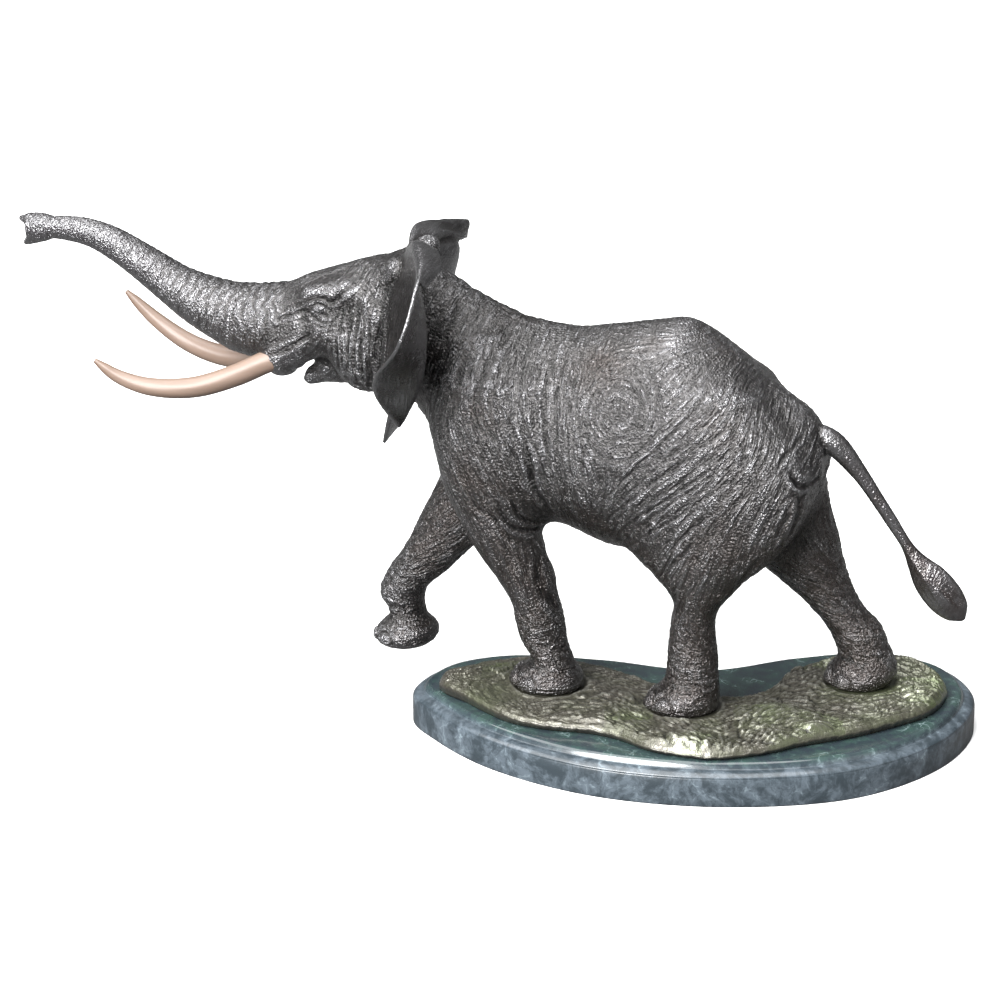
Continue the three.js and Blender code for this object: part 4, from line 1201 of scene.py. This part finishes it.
def bronze_material(settings):
    material, tree, shader = new_material("bronze", Metallic=0.85, Coat_Weight=0.8, Coat_Roughness=0.2)
    direction = attribute(tree, "grain", "Vector")
    wrinkles = placed_group(tree, "Drawn grain", Direction=direction, Scale=300.0, Reach=0.007)
    hairs = placed_group(tree, "Drawn grain", Direction=direction, Scale=700.0, Reach=0.003)
    pebbles = placed_group(tree, "Cast pebbles", Scale=800.0)
    lined = attribute(tree, "lined")
    # The patches attribute turns the skin a darker brown: random patina patches, and painted shade over the
    # lower body.
    patina = placed_group(
        tree, "Patina", Ridge=attribute(tree, "ridge"), Patches=attribute(tree, "patches"),
        Speckle=wrinkles["Height"], Hollow=(0.012, 0.011, 0.0105, 1), Skin=(*settings.bronze, 1),
        Rubbed=(*settings.rubbed, 1), Patch=(*settings.brown, 1),
    )
    tree.links.new(patina["Color"], shader.inputs["Base Color"])
    tree.links.new(patina["Roughness"], shader.inputs["Roughness"])
    normal = bump(tree, sums(tree, "MULTIPLY", wrinkles["Height"], lined), 0.0009)
    normal = bump(tree, sums(tree, "MULTIPLY", hairs["Height"], lined), 0.00045, normal=normal)
    normal = bump(tree, pebbles["Height"], 0.0003, normal=normal)
    tree.links.new(normal, shader.inputs["Normal"])
    tree.links.new(normal, shader.inputs["Coat Normal"])
    return material


def ground_material(settings):
    material, tree, shader = new_material(
        "ground_bronze", Metallic=0.55, Coat_Weight=0.45, Coat_Roughness=0.28)
    place = add(tree, "TexCoord").outputs["Object"]
    pebbles = placed_group(tree, "Cast pebbles", Scale=700.0)
    cloud = add(tree, "TexNoise", Scale=17.0, Detail=5.0, Roughness=0.62)
    tree.links.new(place, cloud.inputs["Vector"])
    green = sums(tree, "ADD", attribute(tree, "patches"),
                 sums(tree, "MULTIPLY", sums(tree, "SUBTRACT", cloud.outputs[0], 0.5), 1.6), clamp=True)
    patina = placed_group(
        tree, "Patina", Ridge=attribute(tree, "ridge"), Patches=green, Speckle=pebbles["Speckle"],
        Hollow=(0.014, 0.014, 0.011, 1), Skin=(*settings.earth, 1), Rubbed=(0.2, 0.2, 0.175, 1),
        Patch=(*settings.verdigris, 1),
    )
    tree.links.new(patina["Color"], shader.inputs["Base Color"])
    tree.links.new(patina["Roughness"], shader.inputs["Roughness"])
    tree.links.new(bump(tree, pebbles["Height"], 0.0004, 0.8), shader.inputs["Normal"])
    return material


def tusk_material(settings):
    material, tree, shader = new_material("tusk", Roughness=0.42, Specular_IOR_Level=0.45)
    shader.inputs["Subsurface Weight"].default_value = 0.12
    shader.inputs["Subsurface Radius"].default_value = (0.004, 0.0025, 0.0015)
    streak = add(tree, "TexNoise", Scale=60.0, Detail=5.0, Roughness=0.65)
    stretch = add(tree, "Mapping")
    stretch.inputs["Scale"].default_value = (0.35, 2.4, 2.4)
    tree.links.new(add(tree, "TexCoord").outputs["Object"], stretch.inputs["Vector"])
    tree.links.new(stretch.outputs[0], streak.inputs["Vector"])
    # The patches attribute holds the stains at root and tip, and painted shade on the tusks' undersides.
    tan = sums(tree, "ADD", attribute(tree, "patches"),
               sums(tree, "MULTIPLY", sums(tree, "SUBTRACT", streak.outputs[0], 0.5), 0.9), clamp=True)
    colour = mixed(tree, tan, tuple(settings.ivory), tuple(settings.tan))
    tree.links.new(colour, shader.inputs["Base Color"])
    tree.links.new(bump(tree, streak.outputs[0], 0.0004, 0.4), shader.inputs["Normal"])
    return material


def marble_material(settings):
    material, tree, shader = new_material("marble", Coat_Weight=0.3, Coat_Roughness=0.06)
    place = add(tree, "TexCoord").outputs["Object"]
    warp = add(tree, "TexNoise", Scale=14.0, Detail=5.0, Roughness=0.6)
    tree.links.new(place, warp.inputs["Vector"])
    shifted = add(tree, "VectorMath", operation="MULTIPLY_ADD")
    tree.links.new(warp.outputs["Color"], shifted.inputs[0])
    shifted.inputs[1].default_value = (0.05, 0.05, 0.05)
    tree.links.new(place, shifted.inputs[2])
    clouds = add(tree, "TexNoise", Scale=62.0, Detail=9.0, Roughness=0.74)
    veins = add(tree, "TexVoronoi", feature="DISTANCE_TO_EDGE", Scale=26.0)
    fine = add(tree, "TexVoronoi", feature="DISTANCE_TO_EDGE", Scale=95.0)
    for node in (clouds, veins, fine):
        tree.links.new(shifted.outputs[0], node.inputs["Vector"])
    polish = attribute(tree, "polished")
    pale = mixed(tree, polish, tuple(settings.marble), tuple(settings.marble_top))
    base = mixed(tree, ramp_factor(tree, clouds.outputs[0], 0.4, 0.62), tuple(settings.marble_dark), pale)
    vein = sums(tree, "SUBTRACT", 1.0, ramp_factor(tree, veins.outputs["Distance"], 0.0, 0.03))
    thread = sums(tree, "SUBTRACT", 1.0, ramp_factor(tree, fine.outputs["Distance"], 0.0, 0.07))
    patchy = ramp_factor(tree, clouds.outputs[0], 0.5, 0.72)
    both = sums(tree, "ADD", sums(tree, "MULTIPLY", vein, 0.22), sums(tree, "MULTIPLY", thread, 0.3))
    white = sums(tree, "MULTIPLY", both, patchy, clamp=True)
    colour = mixed(tree, white, base, tuple(settings.vein))
    tree.links.new(colour, shader.inputs["Base Color"])
    rough = sums(tree, "SUBTRACT", 0.34, sums(tree, "MULTIPLY", polish, 0.24))
    tree.links.new(rough, shader.inputs["Roughness"])
    return material


# ---- the add-on ---------------------------------------------------------------------------

def swatch(name, description, *colour):
    """A colour that can be changed before the sculpture is built."""
    return bpy.props.FloatVectorProperty(
        name=name, description=description, subtype="COLOR", default=colour)


class SculptureSettings(bpy.types.PropertyGroup):
    """Sizes and colours that can be changed before the sculpture is built."""
    detail: bpy.props.FloatProperty(
        name="Detail", description="Size of the smallest modelled feature of the skin, in millimetres",
        default=1.0, min=0.8, max=6)
    relief: bpy.props.FloatProperty(
        name="Wrinkle depth", description="How strongly the wrinkles are cut, as a factor", default=1.0,
        min=0, max=2)
    bronze: swatch("Bronze", "Colour of the patinated skin", 0.05, 0.047, 0.047)
    brown: swatch("Brown", "Colour of the warmer patches", 0.034, 0.026, 0.023)
    rubbed: swatch("Rubbed", "Colour of the rubbed ridges", 0.17, 0.168, 0.175)
    earth: swatch("Earth", "Colour of the ground", 0.075, 0.068, 0.056)
    verdigris: swatch("Verdigris", "Colour of the ground's green patches", 0.1, 0.12, 0.06)
    ivory: swatch("Ivory", "Colour of the tusks", 0.19, 0.135, 0.105)
    tan: swatch("Tan", "Colour of the tusks' stains", 0.13, 0.085, 0.06)
    marble: swatch("Marble", "Pale colour of the marble", 0.075, 0.094, 0.112)
    marble_top: swatch("Polished marble", "Colour of the marble's polished top", 0.03, 0.055, 0.05)
    marble_dark: swatch("Dark marble", "Dark colour of the marble", 0.022, 0.031, 0.038)
    vein: swatch("Veins", "Colour of the marble's veins", 0.45, 0.56, 0.6)
    azimuth: bpy.props.FloatProperty(
        name="Camera azimuth", description="Turn of the camera from straight in front", subtype="ANGLE",
        default=math.radians(2))
    elevation: bpy.props.FloatProperty(
        name="Camera elevation", description="Height of the camera as an angle", subtype="ANGLE",
        default=math.radians(19))
    distance: bpy.props.FloatProperty(
        name="Camera distance", description="Distance of the camera from the base", unit="LENGTH",
        default=2.4)


def triangulated_under(thing, limit):
    """Cuts a piece down to fewer triangles, keeping its detail."""
    count = sum(len(polygon.vertices) - 2 for polygon in thing.data.polygons)
    if count > limit:
        reducer = thing.modifiers.new("reduce", "DECIMATE")
        reducer.ratio = limit / count
        applied(thing)


def ridges_of(thing, fine_times=8, broad_times=40, fine_size=0.35, broad_size=1.2):
    """Shows where a surface is a hollow, 0, or a ridge, 1. The mesh is in millimetres."""
    points, normals, edges = points_of(thing), normals_of(thing), edges_of(thing)
    smooth = averaged(points, edges, fine_times)
    smoother = averaged(smooth, edges, broad_times - fine_times)
    fine = ((points - smooth) * normals).sum(1)
    broad = ((points - smoother) * normals).sum(1)
    return np.clip(0.5 + 0.36 * np.tanh(fine / fine_size) + 0.2 * np.tanh(broad / broad_size), 0, 1)


def closest(points, others):
    """Distance of each point from the closest of a few others."""
    return np.min([np.linalg.norm(points - other, axis=1) for other in others], axis=0)


def scaled_to_row(thing, turned):
    """Moves a piece from millimetres to the row frame, and out of the elephant's turned frame."""
    points = points_of(thing)
    move_points(thing, (to_row(points) if turned else points) * MM)


class SCULPTURE_OT_elephant(bpy.types.Operator):
    """Models the elephant with its ears, tail and skin"""
    bl_idname = "sculpture.elephant"
    bl_label = "Elephant"

    def execute(self, context):
        settings = context.scene.sculpture
        step = max(2.0, settings.detail * 1.6)
        body = skin(beast, (-544, -84, 28), (150, 84, 372), step)
        tail = bar(TAIL_LINE, TAIL_GIRTH, 260, 72, tail_relief)
        parts = merge(body, ear_sheet(LEFT_EAR, 3), ear_sheet(RIGHT_EAR, 8), tail)
        thing = to_object("elephant_skin", *parts, scale=1)
        fuse = thing.modifiers.new("fuse", "REMESH")
        fuse.mode = "VOXEL"
        fuse.voxel_size = settings.detail
        applied(thing)
        points, edges = points_of(thing), edges_of(thing)
        roots = np.concatenate([evenly(np.array(ear)[:, 0], 40)[0] for ear in (LEFT_EAR, RIGHT_EAR)])
        near_root = np.exp(-((closest(points, roots) / 9) ** 2))[:, None]
        points = points + near_root * (averaged(points, edges, 16) - points)
        move_points(thing, points)
        normals = unit(averaged(normals_of(thing), edges, 3))
        field = beast(tuple(points.T[:, :, None, None]))[:, 0, 0]
        on_body = 1 - ramp(np.abs(field), 0.7, 2.2)
        height = body_relief(points, normals) * on_body * settings.relief
        feet = ramp(points[:, 2], SOLE, SOLE + 3)
        move_points(thing, points + normals * (height * feet)[:, None])
        triangulated_under(thing, SKIN_TRIANGLES)
        points, normals = points_of(thing), normals_of(thing)
        remember(thing, "ridge", ridges_of(thing))
        # Darker brown: random patina patches, plus painted shade that fills the lower body below about 240
        # mm; the tail is brown all over.
        brown_patches_and_painted_shade = layered(points / 60, 3, 71) + 1.3 * (1 - ramp(points[:, 2], 130, 240)) - 0.15
        brown_patches_and_painted_shade = brown_patches_and_painted_shade * ramp(points[:, 0], -260, -200) + ramp(points[:, 0], 86, 100)
        remember(thing, "patches", np.clip(brown_patches_and_painted_shade, 0, 1))
        near_body = 1 - ramp(np.abs(beast(tuple(points.T[:, :, None, None]))[:, 0, 0]), 1.2, 3)
        remember(thing, "lined", 0.25 + 0.75 * near_body * np.clip(lines_at(points)[2] * 1.4, 0, 1))
        lines = grain(points, normals)
        scaled_to_row(thing, True)
        c, s = math.cos(TURN), math.sin(TURN)
        x, y, z = lines.T
        remember(thing, "grain", np.stack([c * x - s * y, s * x + c * y, z], 1))
        finished(thing, bronze_material(settings))
        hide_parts("elephant")
        return {"FINISHED"}


class SCULPTURE_OT_tusks(bpy.types.Operator):
    """Turns the two tusks"""
    bl_idname = "sculpture.tusks"
    bl_label = "Tusks"

    def execute(self, context):
        material = tusk_material(context.scene.sculpture)
        for name, line in (("left_tusk", LEFT_TUSK_LINE), ("right_tusk", RIGHT_TUSK_LINE)):
            relief = lambda t, angle: 0.1 * np.sin(3 * angle + 9 * t) + 0.05 * np.sin(7 * angle - 20 * t)
            thing = to_object(name + "_fine", *bar(line, TUSK_GIRTH, TUSK_STEPS, TUSK_SIDES, relief), scale=1)
            place = np.linspace(0, 1, TUSK_STEPS + 1).repeat(TUSK_SIDES)
            place = np.concatenate([place, [0, 1]])
            stain_and_painted_shade = 0.9 * (1 - ramp(place, 0.0, 0.1)) + 0.55 * ramp(place, 0.8, 1)
            # Painted shade: the tusks' undersides turn towards tan as their normals face down; the stains at
            # the root and tip are the tusks' own.
            stain_and_painted_shade = stain_and_painted_shade + 0.35 * ramp(-normals_of(thing)[:, 2], -0.2, 1)
            remember(thing, "patches", np.clip(stain_and_painted_shade, 0, 1))
            scaled_to_row(thing, True)
            finished(thing, material)
            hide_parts(name)
        return {"FINISHED"}


class SCULPTURE_OT_ground(bpy.types.Operator):
    """Casts the patch of grassland"""
    bl_idname = "sculpture.ground"
    bl_label = "Ground"

    def execute(self, context):
        rings, tint, across = ground_points()
        thing = to_object("ground_cast", *ringed(rings), scale=1)
        outer = np.ones(rings.shape[:2])
        outer[:, 3:across - 2] = 0
        ridge = ridges_of(thing, 5, 24, 0.3, 1.2)
        remember(thing, "ridge", ridge - np.append(outer.ravel(), [0, 0]) * (ridge - 0.3))
        patches = np.zeros(rings.shape[:2])
        patches[:, :across + 1] = 0.2 + 0.5 * tint[:, ::-1] + 0.35 * ramp(rings[:, :across + 1, 0], 90, 160)
        remember(thing, "patches", np.append(patches.ravel(), [0, 0]))
        scaled_to_row(thing, False)
        finished(thing, ground_material(context.scene.sculpture))
        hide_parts("ground")
        return {"FINISHED"}


class SCULPTURE_OT_marble(bpy.types.Operator):
    """Cuts and polishes the marble base"""
    bl_idname = "sculpture.marble"
    bl_label = "Marble base"

    def execute(self, context):
        thing = to_object("marble_slab", *slab_points(), scale=1)
        remember(thing, "polished", ramp(points_of(thing)[:, 2], 24.5, 29.9))
        scaled_to_row(thing, False)
        finished(thing, marble_material(context.scene.sculpture))
        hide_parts("marble_base")
        return {"FINISHED"}


class SCULPTURE_OT_stage(bpy.types.Operator):
    """Sets the floor, the lights and the camera"""
    bl_idname = "sculpture.stage"
    bl_label = "Stage"

    def execute(self, context):
        settings, scene = context.scene.sculpture, context.scene
        corners = [(-9, -9, 0), (9, -9, 0), (9, 9, 0), (-9, 9, 0)]
        floor = to_object("floor", np.array(corners, float), [(0, 1, 2, 3)], scale=1)
        material, tree, shader = new_material("floor_paper_with_painted_shade", Roughness=0.9)
        # Painted shade: the floor shows pale paper (0.9) to the camera but is near black (0.08) to
        # reflections and bounced light, so the bronze's undersides catch a dark floor.
        seen = add(tree, "LightPath").outputs["Is Camera Ray"]
        tree.links.new(mixed(tree, seen, grey(0.08), grey(0.9)), shader.inputs["Base Color"])
        floor.data.materials.append(material)
        world = bpy.data.worlds.new("studio")
        world.use_nodes = True
        tree = world.node_tree
        height = add(tree, "SeparateXYZ")
        tree.links.new(add(tree, "TexCoord").outputs["Generated"], height.inputs[0])
        sky = ramp_node(tree, [(0.0, grey(0.1)), (0.5, grey(0.15)), (1.0, grey(0.5))], height.outputs["Z"])
        tree.links.new(sky, tree.nodes["Background"].inputs["Color"])
        scene.world = world
        for name, toward, spread, power in (
            ("key_light", (0.46, 0.73, -0.55), 40, 9.0),
            ("top_light", (0.3, 0.1, -1.0), 70, 5.5),
            ("side_light", (-1.0, 0.6, -0.5), 40, 0.3),
        ):
            lamp = bpy.data.lights.new(name, "SUN")
            lamp.angle, lamp.energy = math.radians(spread), power
            hung = bpy.data.objects.new(name, lamp)
            hung.rotation_euler = Vector(toward).to_track_quat("-Z", "Y").to_euler()
            scene.collection.objects.link(hung)
        lens = bpy.data.cameras.new("camera")
        lens.sensor_width, lens.lens = 36, LENS
        camera = bpy.data.objects.new("camera", lens)
        a, e = settings.azimuth, settings.elevation
        right = Vector((math.cos(a), math.sin(a), 0))
        up = Vector((-math.sin(a) * math.sin(e), math.cos(a) * math.sin(e), math.cos(e)))
        ahead = up.cross(right)
        placed = Matrix((right, up, -ahead)).transposed().to_4x4()
        placed.translation = -settings.distance * (ahead + right * CAMERA_LEFT - up * CAMERA_RAISED)
        camera.matrix_world = placed
        scene.collection.objects.link(camera)
        scene.camera = camera
        scene.view_settings.view_transform = "Standard"
        return {"FINISHED"}


class SCULPTURE_PT_panel(bpy.types.Panel):
    """Lists the pieces of the sculpture"""
    bl_idname = "SCULPTURE_PT_panel"
    bl_label = "Elephant"
    bl_space_type = "VIEW_3D"
    bl_region_type = "UI"
    bl_category = "Elephant"

    def draw(self, context):
        settings = context.scene.sculpture
        for name in settings.bl_rna.properties.keys():
            if name not in ("rna_type", "name"):
                self.layout.prop(settings, name)
        for operator in OPERATORS:
            self.layout.operator(operator.bl_idname)


OPERATORS = (
    SCULPTURE_OT_elephant, SCULPTURE_OT_tusks, SCULPTURE_OT_ground, SCULPTURE_OT_marble, SCULPTURE_OT_stage,
)
CLASSES = (SculptureSettings, *OPERATORS, SCULPTURE_PT_panel)


def register():
    for made in CLASSES:
        bpy.utils.register_class(made)
    bpy.types.Scene.sculpture = bpy.props.PointerProperty(type=SculptureSettings)


def unregister():
    del bpy.types.Scene.sculpture
    for made in reversed(CLASSES):
        bpy.utils.unregister_class(made)


def main():
    register()
    drawn_grain_group()
    cast_pits_group()
    patina_group()
    bpy.ops.sculpture.elephant()
    bpy.ops.sculpture.tusks()
    bpy.ops.sculpture.ground()
    bpy.ops.sculpture.marble()
    bpy.ops.sculpture.stage()


if __name__ == "__main__":
    main()
